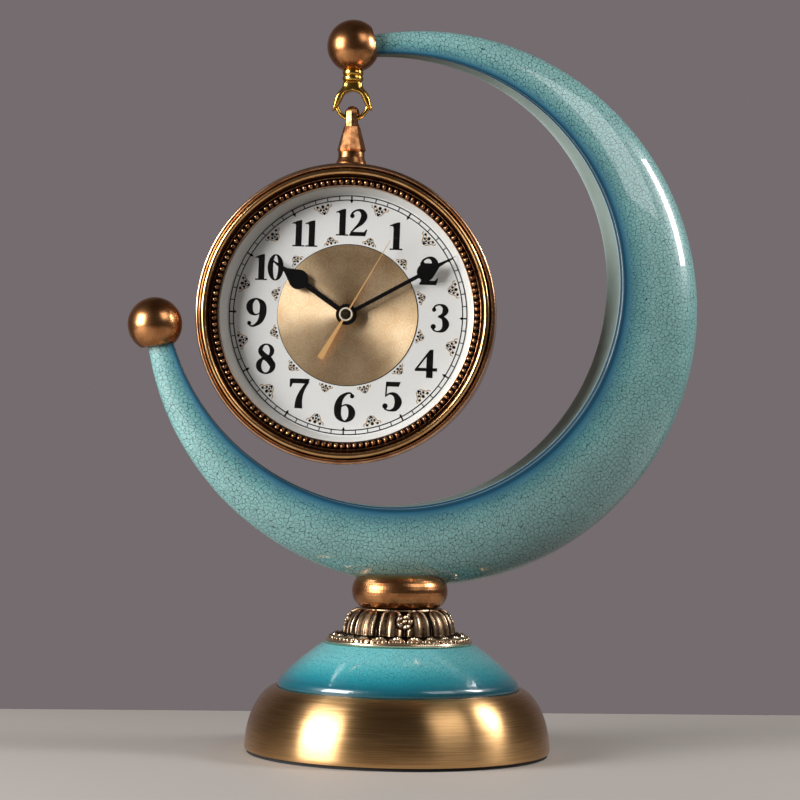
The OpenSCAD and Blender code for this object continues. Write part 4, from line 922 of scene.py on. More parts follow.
@dataclass
class CastCollar:
    """The cast collar: a ribbed dome with rosettes over a flange of shell leaves."""

    foot_z: float = 53.5
    flange_r: float = 36.2
    flange_h: float = 4.9
    dome_r: float = 27.6
    dome_top_r: float = 19.4
    dome_h: float = 12.3
    bore_r: float = 4.3
    rim_z: float = 2.1
    rim_in: float = 1.4
    steps: int = 960
    # The dome's broad faces: their number, and half their width as a share of the pitch
    ribs: int = 12
    face_half: float = 0.36
    # Rosettes: how far up the dome, the size of pitch and dome in mm, then the radii of the parts
    rose_place: float = 0.42
    rib_mm: float = 12.7
    dome_mm: float = 17.0
    rose_r: float = 4.5
    petal_r: float = 2.7
    petal_half: float = 1.1
    eye_r: float = 1.0
    # Shell leaves: their number, their pitch and the flange's width in mm, and the radii of a leaf
    shells: int = 24
    shell_mm: float = 8.2
    flange_mm: float = 8.5
    leaf_r: float = 4.0
    curl_r: float = 3.3
    # How far dome and leaves stand out, and how far their ground is sunk
    dome_relief: tuple[float, float] = (1.5, 0.9)
    leaf_relief: tuple[float, float] = (1.7, 0.4)

    def outline(self) -> tuple[np.ndarray, np.ndarray, np.ndarray]:
        """Gives the collar's plain outline from its seat up to the bead.

        Returns:
            Radius and height of each point, and its place: 0 to 1 on the flange, 1 to 2 on the dome.
        """
        r0, z0 = self.flange_r, self.foot_z
        rim_r = [r0 - 0.8, r0, r0, r0 - 0.5, r0 - self.rim_in]
        rim_z = [z0, z0 + 0.8, z0 + 1.5, z0 + 2.0, z0 + self.rim_z]
        t = np.linspace(0, 1, 26)[1:]
        leaf_r = r0 - self.rim_in + (self.dome_r - r0 + self.rim_in) * t
        leaf_z = z0 + self.rim_z + (self.flange_h - self.rim_z) * t**0.8
        a = np.linspace(0, math.pi / 2, 46)[1:]
        dome_r = self.dome_top_r + (self.dome_r - self.dome_top_r) * np.cos(a)
        dome_z = z0 + self.flange_h + self.dome_h * np.sin(a)
        r = np.r_[rim_r, leaf_r, dome_r]
        z = np.r_[rim_z, leaf_z, dome_z]
        place = np.r_[np.zeros(5), t, 1 + a / (math.pi / 2)]
        return r, z, place

    def rosettes(self, s: np.ndarray, a: np.ndarray) -> tuple[np.ndarray, np.ndarray]:
        """Works out the rosettes, one in every third gap between the broad faces.

        Args:
            s: Share of the way up the dome, one a row.
            a: Angle in turns, one a column.

        Returns:
            How far a rosette covers each spot, and how far it stands out there.
        """
        third = np.round(a * self.ribs) % 3 == 0
        across = ((a * self.ribs + 0.5) % 1 - 0.5) * self.rib_mm
        up = (s - self.rose_place) * self.dome_mm
        far = np.hypot(across, up)
        cover = third * np.clip(1.3 - (far / self.rose_r) ** 4, 0, 1)
        lobes = 0.25 + 0.75 * np.cos(2.5 * np.arctan2(up, across)) ** 2
        petals = lobes * np.exp(-(((far - self.petal_r) / self.petal_half) ** 4))
        return cover, cover * np.maximum(np.exp(-((far / self.eye_r) ** 2)), petals)

    def dome(self, s: np.ndarray, a: np.ndarray) -> tuple[np.ndarray, np.ndarray]:
        """Works out the dome: broad faces with raised edges and a spine, stems, rosettes and a top band.

        Args:
            s: Share of the way up the dome, one a row.
            a: Angle in turns, one a column.

        Returns:
            How far each spot stands out, and how bright it is: rubbed wear, and a painted highlight on the
            broad faces.
        """
        u = np.abs((a * self.ribs) % 1 - 0.5)
        narrowed = 1 - 0.35 * np.clip((s - 0.62) / 0.38, 0, 1) ** 2
        half = self.face_half * narrowed * np.sqrt(np.clip(1.02 - s**6, 0, 1))
        edge = np.exp(-(((u - half) / 0.045) ** 2))
        inside = 1 / (1 + np.exp((u - half) / 0.02))
        spine = np.exp(-((u / 0.04) ** 2)) * np.clip(1 - s, 0, 1)
        hollow = inside * (0.25 + 0.35 * (u / self.face_half) ** 2)
        stem = (1 - inside) * np.exp(-(((0.5 - u) / 0.03) ** 2)) * np.clip((0.35 - s) * 4, 0, 1) * 0.6
        cover, rose = self.rosettes(s, a)
        plain = np.clip(1.6 * (1 - cover) - 0.3, 0, 1)
        out = (0.55 * edge + 0.5 * hollow + 0.3 * spine) * plain + 0.95 * rose + 0.4 * stem
        # The broad faces lie low but are painted bright, partly as rubbed brass and partly as a highlight
        # that ripples across each face, so their tone isn't their height
        bright = np.maximum(0.58 * inside * (1 - cover) * (0.6 + 0.4 * np.cos(u * 16)), out)
        top_band = 0.7 * np.exp(-(((s - 0.985) / 0.03) ** 2))
        return np.maximum(out, top_band), np.maximum(bright, top_band)

    def leaves(self, f: np.ndarray, a: np.ndarray) -> np.ndarray:
        """Works out the shell leaves: veined fans with a curled edge.

        Args:
            f: Share of the way over the flange, one a row.
            a: Angle in turns, one a column.

        Returns:
            How far each spot stands out.
        """
        across = np.abs((a * self.shells) % 1 - 0.5) * self.shell_mm
        far = np.hypot(across, (f - 0.1) * self.flange_mm)
        fan = np.clip(1.1 - (far / self.leaf_r) ** 6, 0, 1)
        veins = 0.5 + 0.5 * np.cos(np.arctan2(across, (1.12 - f) * self.flange_mm) * 26)
        curl = np.exp(-(((far - self.curl_r) / 0.5) ** 2))
        fade = np.clip(f / 0.08, 0, 1) * np.clip((1 - f) / 0.12, 0.15, 1)
        return (fan * (0.45 + 0.35 * veins) + 0.5 * curl) * fade

    def relief(self, place: np.ndarray, a: np.ndarray) -> tuple[np.ndarray, np.ndarray]:
        """Works out how far the casting stands out.

        Args:
            place: Place of each row, as outline() gives it.
            a: Angle of each column, in turns.

        Returns:
            Height in millimetres, and how bright it is, from 0 to 1: rubbed wear, and a painted highlight on
            the dome's broad faces.
        """
        dome, bright = self.dome(np.clip(place - 1, 0, 1)[:, None], a[None])
        leaf = self.leaves(np.clip(place, 0, 1)[:, None], a[None])
        on_dome, on_rim = (place > 1)[:, None], (place == 0)[:, None]
        high, sunk = self.dome_relief
        leaf_high, leaf_sunk = self.leaf_relief
        height = np.where(on_dome, high * dome - sunk, leaf_high * leaf - leaf_sunk)
        share = np.where(on_rim, 0.85, np.where(on_dome, bright, leaf))
        return np.where(on_rim, 0.0, height), np.clip(share, 0, 1)

    def build(self) -> None:
        """Builds the casting as one closed skin."""
        r, z, place = self.outline()
        a = np.arange(self.steps) / self.steps
        height, share = self.relief(place, a)
        dr, dz = np.gradient(r), np.gradient(z)
        length = np.hypot(dr, dz)
        out_r, out_z = dz / length, -dr / length
        top = self.foot_z + self.flange_h + self.dome_h
        rr = np.minimum(r[:, None] + height * out_r[:, None], self.flange_r)
        zz = np.clip(z[:, None] + height * out_z[:, None], self.foot_z, top)
        rows = np.vstack([rr, np.full((2, self.steps), self.bore_r)])
        levels = np.vstack([zz, np.full(self.steps, top), np.full(self.steps, self.foot_z)])
        shares = np.vstack([share, np.full((2, self.steps), 0.4)])
        angle = FULL_TURN * a[None]
        points = np.stack([rows * np.cos(angle), rows * np.sin(angle), levels], axis=-1)
        shape = Shape()
        shape.put(points.reshape(-1, 3), grid(len(rows), self.steps, Seam.TORUS), relief=shares.ravel())
        finishes = [COLLAR_BRASS]
        shape.piece(
            "collar_casting", finishes, "stand", "antique_cast_brass", Matrix(), ["cast_collar"], sharp=60
        )


@dataclass
class Crescent:
    """The glazed crescent: a swelling body whose inner rim rolls over a hollow wall."""

    centre: tuple[float, float] = (9.5, 218.97)
    outer_r: float = 137.0
    inner_r: float = 111.3
    gap: float = 21.2
    gap_dir: float = 142.5
    depth: float = 45.0
    widest: float = 46.9
    lip_share: float = 0.06
    hollow_share: float = 0.05
    ends: tuple[float, float] = (-170.5, 102.0)
    stations: int = 380
    # Where the dark glaze under the rim has cleared: reach in mm, and where it reaches further
    clear_mm: float = 28.0
    clear_more: float = 9.0
    clear_dir: float = -125.0
    clear_spread: float = 32.0
    # How far inside the outer radius the crackle runs along
    crackle_in: float = 20.0

    def section(self, a: float) -> tuple[np.ndarray, np.ndarray, np.ndarray, np.ndarray]:
        """Gives the closed section at one direction.

        Args:
            a: The direction from the crescent's centre, in degrees.

        Returns:
            Radius and depth of each point, its share from wall to face and its way round the section.
        """
        turn = math.radians(a - self.gap_dir)
        inner = self.gap * math.cos(turn) + math.sqrt(self.inner_r**2 - (self.gap * math.sin(turn)) ** 2)
        w = self.outer_r - inner
        h = w * self.depth / self.widest / 2
        lip = self.lip_share * w
        r0 = inner + lip
        t = np.linspace(-math.pi / 2, math.pi / 2, 61)
        body = np.c_[r0 + (w - lip) * np.cos(t), h * np.sin(t)]
        b = np.linspace(0, math.pi / 2, 10)[1:]
        back = np.c_[r0 - lip * np.sin(b), h - lip + lip * np.cos(b)]
        u = np.linspace(1, -1, 18)[1:-1]
        wall = np.c_[inner + self.hollow_share * w * (1 - u**2), (h - lip) * u]
        front = back[::-1] * np.array([1, -1])
        ring = np.vstack([body, back, wall, front])
        way = np.r_[0, np.cumsum(np.hypot(*np.diff(ring, axis=0).T))]
        last_body = len(body) - 1
        # The dark rim is narrower where the crescent is
        reach = np.minimum(way, way[last_body] - way) / (0.4 + 0.6 * w / self.widest)
        wide = self.clear_mm
        wide += self.clear_more * math.exp(-(((a - self.clear_dir) / self.clear_spread) ** 2))
        # The share is 0 on the wall, 0.25 to 0.5 over the rolled rim and 1 out on the face
        share = np.minimum(0.5 + reach / wide, 1)
        roll = 0.5 - b / (math.pi / 2) / 4
        inner_wall = 0.25 * np.abs(u) ** 6
        share[last_body + 1 :] = np.r_[roll, inner_wall, roll[::-1]]
        return ring[:, 0], ring[:, 1], share, way

    def build(self) -> None:
        """Lofts the body through its sections."""
        rows, shares, ways = [], [], []
        for a in np.linspace(*self.ends, self.stations):
            r, y, share, way = self.section(a)
            c, s = math.cos(math.radians(a)), math.sin(math.radians(a))
            rows.append(np.c_[self.centre[0] + r * c, y, self.centre[1] + r * s])
            shares.append(share)
            arc = math.radians(a) * (self.outer_r - self.crackle_in)
            ways.append(np.c_[np.full(len(way), arc), way, np.zeros(len(way))])
        count = len(rows[0])
        shape = Shape()
        faces = grid(len(rows), count, Seam.ROUND)
        shape.put(np.vstack(rows), faces, from_rim=np.concatenate(shares), run=np.vstack(ways))
        shape.faces += [tuple(range(count)), tuple(range(shape.count - 1, shape.count - count - 1, -1))]
        shape.finish_of += [0, 0]
        slot = "crackled_celadon_glaze"
        shape.piece("crescent_glazed", [CRESCENT_GLAZE], "stand", slot, Matrix(), ["crescent"], sharp=50)


@dataclass
class Claw:
    """The cast claw under the upper ball: two rounded arms that taper to points beside the ring."""

    hang_x: float = -28.1081
    turn: float = -11.0
    top_z: float = 329.3
    # Power that squares the section's oval, and the share by which the arms differ in depth
    squareness: float = 0.75
    depth_step: float = 0.005
    # Half widths of the claw's outside and of its arch, and half its depth, at heights below its top
    arms: tuple[tuple[float, float, float, float], ...] = (
        (0.0, 4.6, -4.6, 2.9),
        (1.0, 4.9, -4.9, 3.1),
        (2.6, 5.3, -4.5, 3.2),
        (4.2, 6.4, -1.5, 3.3),
        (5.0, 7.0, 1.6, 3.3),
        (6.2, 7.8, 3.8, 3.3),
        (8.2, 8.8, 4.9, 3.1),
        (10.4, 9.2, 6.0, 2.7),
        (12.6, 9.6, 7.4, 2.1),
        (13.8, 9.9, 8.7, 1.3),
        (14.4, 10.05, 9.75, 0.4),
    )

    def build(self) -> None:
        """Sweeps a rounded section down each arm, from the middle of the crown to the point."""
        line = spline(self.arms, 5)
        a = np.linspace(0, FULL_TURN, 28, endpoint=False)
        c, s = np.cos(a), np.sin(a)
        # A squared oval, fuller than an ellipse
        across = np.sign(c) * np.abs(c) ** self.squareness
        deep = np.sign(s) * np.abs(s) ** self.squareness
        shape = Shape()
        for side in (-1, 1):
            rows = []
            for drop, outer, inner, depth in line:
                x = (outer + inner) / 2 + (outer - inner) / 2 * across
                # The arms share the crown, one a hair deeper than the other, so no faces coincide
                y = depth * (1 - self.depth_step * side) * deep
                rows.append(np.c_[side * x, y, np.full(len(a), self.top_z - drop)])
            n, count = len(a), len(rows)
            crown, point = tuple(range(n - 1, -1, -1)), tuple(range((count - 1) * n, count * n))
            faces = [*grid(count, n, Seam.ROUND), crown, point]
            if side > 0:
                faces = [tuple(face)[::-1] for face in faces]
            shape.put(np.vstack(rows), faces)
        spin = Matrix.Rotation(math.radians(self.turn), 4, "Z")
        place = Matrix.Translation((self.hang_x * MM, 0, 0)) @ spin
        slot = "polished_hanger_brass"
        shape.piece("claw_cast", [HANGER_BRASS], "yoke", slot, place, ["claw_yoke"], sharp=60)


@dataclass
class HeadPart:
    """A part of the clock head, drawn in the head's own frame."""

    hang_x: float = -28.1081
    centre_z: float = 214.066
    turn: float = -11.0
    hang_depth: float = 3.1

    def place(self) -> Matrix:
        """Gives the head's frame: Z forwards out of the dial, Y up, zero on the dial's face.

        Returns:
            The frame, in metres.
        """
        return (
            Matrix.Translation((self.hang_x * MM, 0, self.centre_z * MM))
            @ Matrix.Rotation(math.radians(self.turn), 4, "Z")
            @ Matrix.Rotation(math.radians(90), 4, "X")
            @ Matrix.Translation((0, 0, self.hang_depth * MM))
        )


class Tone(IntEnum):
    """The bezel's finishes, each by its place in the list that the bezel is dressed with."""

    COPPER = 0
    GOLD = 1
    DARK = 2
    BRIGHT = 3
    SHADED = 4


@dataclass
class Bezel(HeadPart):
    """The bezel with its bright rings and dark grooves, and the beading in its channel."""

    # Radii from the opening outwards, then heights over the dial's face
    opening_r: float = 62.4
    channel_r: float = 62.9
    thin_ring_r: float = 66.0
    milgrain_r: float = 66.8
    gold_ring_r: float = 67.9
    groove_r: float = 70.4
    outer_ring_r: float = 71.1
    case_r: float = 73.4
    band_r: float = 72.4
    band_wall: float = 1.6
    band_z: float = 7.0
    bezel_z: float = 9.62
    channel_z: float = 10.22
    skirt_z: float = 4.5
    beads: int = 132
    bead: tuple[float, float, float] = (1.42, 1.3, 1.5)
    bead_z: float = 1.3
    # The dark floor under the beads: its radii and its thickness
    floor: tuple[float, float] = (62.95, 65.95)
    floor_t: float = 0.4

    @staticmethod
    def crest(r: float, end: float, z: float, rise: float) -> list[tuple[float, float]]:
        """Gives the half-round crest of a bezel ring.

        Args:
            r: Its inner radius.
            end: Its outer radius.
            z: Height from which it rises.
            rise: How far it rises.

        Returns:
            Points from its inner to its outer foot.
        """
        w = end - r
        t = np.linspace(math.pi, 0, 13)
        return [(r + w / 2 + w / 2 * math.cos(k), z + rise * math.sin(k)) for k in t]

    def ring(self) -> None:
        """Turns the bezel, each stretch of its outline in its own finish."""
        z = self.channel_z
        opening, band_in = self.opening_r, self.band_r - self.band_wall
        stretches = [
            ([(opening, self.bezel_z), (opening, z + 0.45), (opening + 0.2, z + 0.6)], Tone.COPPER),
            ([(self.channel_r, z + 0.6), (self.channel_r, z), (self.thin_ring_r, z)], Tone.DARK),
            (self.crest(self.thin_ring_r, self.milgrain_r, z + 1.8, 0.4), Tone.BRIGHT),
            # The slope inside the gold ring takes the shaded tone: painted shade
            ([(self.milgrain_r, z + 1.6), (self.gold_ring_r - 0.3, z + 3.4)], Tone.SHADED),
            (self.crest(self.gold_ring_r, self.groove_r, z + 4.1, 1.1), Tone.GOLD),
            ([(self.groove_r, z + 1.9), (self.outer_ring_r, z + 1.9)], Tone.DARK),
            (self.crest(self.outer_ring_r, self.case_r, z + 2.4, 0.8), Tone.COPPER),
            ([(self.case_r, self.skirt_z + 0.3), (self.case_r - 0.3, self.skirt_z)], Tone.COPPER),
            ([(self.band_r, self.skirt_z), (self.band_r, self.band_z), (band_in, self.band_z)], Tone.COPPER),
            ([(band_in, self.bezel_z)], Tone.DARK),
        ]
        outline = [point for points, _ in stretches for point in points]
        tones = [int(tone) for points, tone in stretches for _ in points]
        finishes = [COPPER, GOLD, PATINA, BEADING, SLOPE_PAINTED_SHADE]
        shape = Shape()
        shape.turn(outline, 256, tones)
        shape.piece(
            "bezel_turned", finishes, "head", "copper_bronze", self.place(), ["front_bezel"], sharp=40
        )

    def beading(self) -> None:
        """Lays the ring of beads into the bezel's channel."""
        z = self.channel_z
        finishes = [BEADING, PATINA]
        inner, outer = self.floor
        floor = [(inner, z), (outer, z), (outer, z + self.floor_t), (inner, z + self.floor_t)]
        shape = Shape()
        shape.turn(floor, 160, finishes.index(PATINA))
        mid = (self.channel_r + self.thin_ring_r) / 2
        for k in range(self.beads):
            a = FULL_TURN * k / self.beads
            shape.ball((mid * math.cos(a), mid * math.sin(a), z + self.bead_z), self.bead, a)
        shape.piece("beads_strung", finishes, "head", "satin_bronze", self.place(), ["bead_ring"])

    def build(self) -> None:
        """Builds the bezel and its beading."""
        self.ring()
        self.beading()


@dataclass(frozen=True)
class Figure:
    """One printed figure, in cap heights: ovals, bars, strokes of changing width and round ends."""

    width: float
    bars: tuple[tuple[tuple[float, float], ...], ...] = ()
    strokes: tuple[tuple[tuple[float, float, float], ...], ...] = ()
    spots: tuple[tuple[float, float, float], ...] = ()
    # Middle, half width and half height, and how thick the oval is at its sides and its ends
    ovals: tuple[tuple[float, float, float, float, float, float], ...] = ()

    def draw(self, shape: Shape, left: float, foot: float, cap: float, thick: float) -> None:
        """Adds the figure to the print.

        Args:
            shape: The print's mesh.
            left: Where the figure starts across the dial.
            foot: Where its foot is up the dial.
            cap: Its height.
            thick: Thickness of the print.
        """
        for bar in self.bars:
            shape.plate([(left + x * cap, foot + y * cap) for x, y in bar], 0.0, thick)
        for path in self.strokes:
            # The print's thick strokes spread and its hairlines stay
            spread = [(x, y, w + SPREAD * max(0.0, w - HAIRLINE)) for x, y, w in path]
            shape.stroke([(left + x * cap, foot + y * cap, w * cap) for x, y, w in spread], 0.0, thick)
        t = np.linspace(0, FULL_TURN, 20, endpoint=False)
        for x, y, r in self.spots:
            rim = [(left + (x + r * math.cos(k)) * cap, foot + (y + r * math.sin(k)) * cap) for k in t]
            shape.plate(rim, 0.0, thick)
        t = np.linspace(0, FULL_TURN, 40, endpoint=False)
        level, ground = np.full(len(t), thick), np.zeros(len(t))
        for x, y, across, up, side, end in self.ovals:
            outer = np.c_[left + (x + across * np.cos(t)) * cap, foot + (y + up * np.sin(t)) * cap]
            across, up = across - side, up - end
            inner = np.c_[left + (x + across * np.cos(t)) * cap, foot + (y + up * np.sin(t)) * cap]
            rings = [np.c_[outer, ground], np.c_[outer, level], np.c_[inner, level], np.c_[inner, ground]]
            shape.put(np.vstack(rings), grid(4, len(t), Seam.TORUS))


# The figures of the hours, drawn one by one: places across and up, and the width where they are strokes
FIGURES: dict[str, Figure] = {
    "0": Figure(0.62, ovals=((0.31, 0.5, 0.31, 0.51, 0.21, 0.05),)),
    "1": Figure(
        0.48,
        bars=(
            ((0.145, 0.0), (0.38, 0.0), (0.38, 1.0), (0.31, 1.0), (0.145, 0.95)),
            ((0.03, 0.0), (0.49, 0.0), (0.49, 0.05), (0.03, 0.05)),
            ((0.145, 0.81), (0.31, 1.0), (0.03, 0.9), (0.0, 0.85), (0.1, 0.86)),
        ),
    ),
    "2": Figure(
        0.7,
        strokes=(
            (
                *((0.1, 0.74, 0.1), (0.14, 0.87, 0.07), (0.31, 0.965, 0.07), (0.48, 0.92, 0.14)),
                *((0.565, 0.74, 0.2), (0.47, 0.52, 0.16), (0.27, 0.32, 0.08), (0.09, 0.13, 0.06)),
            ),
        ),
        bars=(
            (
                *((0.03, 0.0), (0.63, 0.0), (0.7, 0.25), (0.655, 0.25)),
                *((0.58, 0.155), (0.1, 0.155), (0.03, 0.06)),
            ),
        ),
        spots=((0.12, 0.745, 0.085),),
    ),
    "3": Figure(
        0.64,
        strokes=(
            (
                *((0.1, 0.78, 0.08), (0.16, 0.92, 0.06), (0.32, 0.97, 0.06), (0.47, 0.9, 0.13)),
                *((0.52, 0.76, 0.18), (0.44, 0.62, 0.12), (0.26, 0.55, 0.04)),
            ),
            (
                *((0.26, 0.55, 0.04), (0.44, 0.5, 0.12), (0.545, 0.3, 0.2), (0.47, 0.1, 0.14)),
                *((0.3, 0.03, 0.06), (0.14, 0.07, 0.06), (0.09, 0.18, 0.1)),
            ),
        ),
        spots=((0.12, 0.79, 0.075), (0.11, 0.2, 0.09)),
    ),
    "4": Figure(
        0.78,
        bars=(
            ((0.405, 0.0), (0.635, 0.0), (0.635, 1.0), (0.55, 1.0), (0.405, 0.8)),
            ((0.0, 0.235), (0.79, 0.235), (0.79, 0.35), (0.06, 0.35), (0.0, 0.3)),
            ((0.0, 0.3), (0.08, 0.3), (0.58, 0.98), (0.55, 1.0), (0.5, 0.98)),
        ),
    ),
    "5": Figure(
        0.66,
        bars=(
            ((0.12, 0.83), (0.55, 0.83), (0.61, 1.0), (0.56, 0.99), (0.12, 0.99)),
            ((0.1, 0.47), (0.15, 0.5), (0.17, 0.9), (0.12, 0.95)),
        ),
        strokes=(
            (
                *((0.11, 0.5, 0.04), (0.27, 0.595, 0.07), (0.45, 0.54, 0.14), (0.55, 0.32, 0.2)),
                *((0.46, 0.1, 0.14), (0.28, 0.03, 0.06), (0.13, 0.07, 0.06), (0.09, 0.16, 0.09)),
            ),
        ),
        spots=((0.11, 0.175, 0.09),),
    ),
    "6": Figure(
        0.69,
        strokes=(
            (
                *((0.6, 0.86, 0.07), (0.52, 0.96, 0.06), (0.38, 0.94, 0.08), (0.2, 0.78, 0.15)),
                *((0.115, 0.5, 0.2), (0.14, 0.2, 0.17), (0.34, 0.03, 0.06), (0.53, 0.14, 0.15)),
                *((0.585, 0.31, 0.19), (0.52, 0.49, 0.14), (0.37, 0.575, 0.06), (0.19, 0.5, 0.04)),
            ),
        ),
        spots=((0.575, 0.865, 0.07),),
    ),
    "7": Figure(
        0.7,
        bars=(
            (
                *((0.03, 0.7), (0.08, 0.7), (0.13, 0.83), (0.62, 0.83)),
                *((0.7, 0.99), (0.1, 0.99), (0.03, 0.97)),
            ),
        ),
        strokes=(((0.655, 0.92, 0.08), (0.46, 0.6, 0.12), (0.36, 0.3, 0.18), (0.345, 0.0, 0.22)),),
    ),
    "8": Figure(
        0.66,
        ovals=((0.33, 0.76, 0.27, 0.245, 0.15, 0.05), (0.33, 0.27, 0.33, 0.285, 0.185, 0.055)),
        strokes=(((0.14, 0.78, 0.1), (0.26, 0.6, 0.17), (0.44, 0.46, 0.19), (0.56, 0.26, 0.14)),),
    ),
    "9": Figure(
        0.69,
        strokes=(
            (
                *((0.09, 0.14, 0.07), (0.17, 0.04, 0.06), (0.31, 0.06, 0.08), (0.49, 0.22, 0.15)),
                *((0.575, 0.5, 0.2), (0.55, 0.8, 0.17), (0.35, 0.97, 0.06), (0.16, 0.86, 0.15)),
                *((0.105, 0.69, 0.19), (0.17, 0.51, 0.14), (0.32, 0.425, 0.06), (0.5, 0.5, 0.04)),
            ),
        ),
        spots=((0.115, 0.135, 0.07),),
    ),
}
# Middle of each hour's figures on the dial, and their height, in millimetres
HOURS: dict[int, tuple[float, float, float]] = {
    12: (0.3, 45.6, 13.2),
    1: (22.4, 39.5, 13.6),
    2: (39.2, 22.9, 13.8),
    3: (45.3, -0.1, 14.0),
    4: (39.5, -22.6, 13.9),
    5: (23.3, -39.2, 14.7),
    6: (0.3, -45.2, 14.9),
    7: (-22.6, -39.2, 14.8),
    8: (-39.6, -22.7, 14.8),
    9: (-45.3, -0.1, 14.4),
    10: (-39.7, 22.4, 12.8),
    11: (-22.7, 39.6, 13.0),
}


@dataclass
class DialPrint(HeadPart):
    """What is printed on the dial: the minute track, the hours and the small ornaments between them."""

    thick: float = 0.06
    # The track's two rings, and half the widths of ring, hour line and minute line
    track: tuple[float, float] = (56.6, 58.7)
    ring_half: float = 0.26
    hour_half: float = 0.36
    minute_half: float = 0.22
    # The wedge at each hour: how far it points inwards, and half its width
    wedge: tuple[float, float] = (1.7, 0.9)
    figure_gap: float = 0.02
    # Radius, direction (1 is outwards) and half width of the outer and the inner ornaments
    ornaments: tuple[tuple[float, int, float], ...] = ((55.6, -1, 4.3), (35.6, 1, 3.3))
    # An ornament's dots, across, up and radius, and the paths of its two strokes, in half widths
    dots: tuple[tuple[float, float, float], ...] = (
        *((-0.62, 0.16, 0.15), (0, 0.2, 0.19), (0.62, 0.16, 0.15)),
        *((-0.33, 0.55, 0.15), (0.33, 0.55, 0.15), (0, 0.62, 0.13)),
        *((0, 1.0, 0.16), (-0.16, 0.84, 0.09), (0.16, 0.84, 0.09)),
    )
    curl: tuple[tuple[float, float], ...] = (
        *((1.0, 0.05), (0.95, 0.32), (0.66, 0.42), (0.5, 0.72), (0.22, 1.1)),
    )
    hook: tuple[tuple[float, float], ...] = ((0.55, 0.0), (0.36, 0.3), (0.12, 0.42), (0.0, 0.4))
    curl_width: float = 0.4
    hook_width: float = 0.3
    # The real dial sits turned a little, so the print is too
    tilt: float = -1.0

    def minutes(self, shape: Shape) -> None:
        """Prints the minute track: two rings joined by minute lines, with a wedge at each hour.

        Args:
            shape: The print's mesh.
        """
        low, high = 0.0, self.thick
        inner, outer = self.track
        half = self.ring_half
        for r in self.track:
            shape.turn([(r - half, low), (r + half, low), (r + half, high), (r - half, high)], 180)
        length, base = self.wedge
        for k in range(60):
            c, s = math.cos(math.radians(6 * k)), math.sin(math.radians(6 * k))
            half = self.hour_half if k % 5 == 0 else self.minute_half
            ends = [(inner, -half), (outer, -half), (outer, half), (inner, half)]
            shape.plate([(r * c - w * s, r * s + w * c) for r, w in ends], low, high)
            if k % 5 == 0:
                mark = [(inner - length, 0), (inner, -base), (inner, base)]
                shape.plate([(r * c - w * s, r * s + w * c) for r, w in mark], low, high)

    def numerals(self, shape: Shape) -> None:
        """Prints the hours as upright, bold figures with thin serifs.

        Args:
            shape: The print's mesh.
        """
        gap = self.figure_gap
        for hour, (x, y, cap) in HOURS.items():
            figures = [FIGURES[d] for d in str(hour)]
            width = sum(f.width for f in figures) + gap * (len(figures) - 1)
            left = x - width * cap / 2
            for figure in figures:
                figure.draw(shape, left, y - cap / 2, cap, self.thick)
                left += (figure.width + gap) * cap

    def ornament(self, ink: Shape, gold: Shape, r: float, a: float, out: float, size: float) -> None:
        """Prints one small pyramid of dots between two scrolls.

        Args:
            ink: The dark print's mesh.
            gold: The gold print's mesh.
            r: Radius of its foot.
            a: Its direction in degrees.
            out: 1 where it points outwards and -1 where inwards.
            size: Half its width.
        """
        c, s = math.cos(math.radians(a)), math.sin(math.radians(a))

        def spot(across: float, up: float) -> tuple[float, float]:
            """Turns a place in the ornament into one on the dial."""
            rr, w = r + out * up * size, across * size
            return rr * c - w * s, rr * s + w * c

        t = np.linspace(0, FULL_TURN, 10, endpoint=False)
        for across, up, radius in self.dots:
            x, y = spot(across, up)
            reach = radius * size
            rim = [(x + reach * math.cos(k), y + reach * math.sin(k)) for k in t]
            ink.plate(rim, 0.0, self.thick)
        for side in (-1, 1):
            curl = [(*spot(side * p, q), self.curl_width) for p, q in self.curl]
            gold.stroke(curl, 0.0, self.thick, smooth=4)
            hook = [(*spot(side * p, q), self.hook_width) for p, q in self.hook]
            gold.stroke(hook, 0.0, self.thick, smooth=3)

    def build(self) -> None:
        """Prints the track, the hours and the ornaments on the dial."""
        ink, gold = Shape(), Shape()
        self.minutes(ink)
        self.numerals(ink)
        for k in range(12):
            a = 15 + 30 * k
            for r, out, size in self.ornaments:
                self.ornament(ink, gold, r, a, out, size)
        turned = self.place() @ Matrix.Rotation(math.radians(self.tilt), 4, "Z")
        ink.piece("dial_print_black", [INK], "head", "white_dial_enamel", turned)
        gold.piece("dial_print_gold", [ORNAMENT_GOLD], "head", "white_dial_enamel", turned)


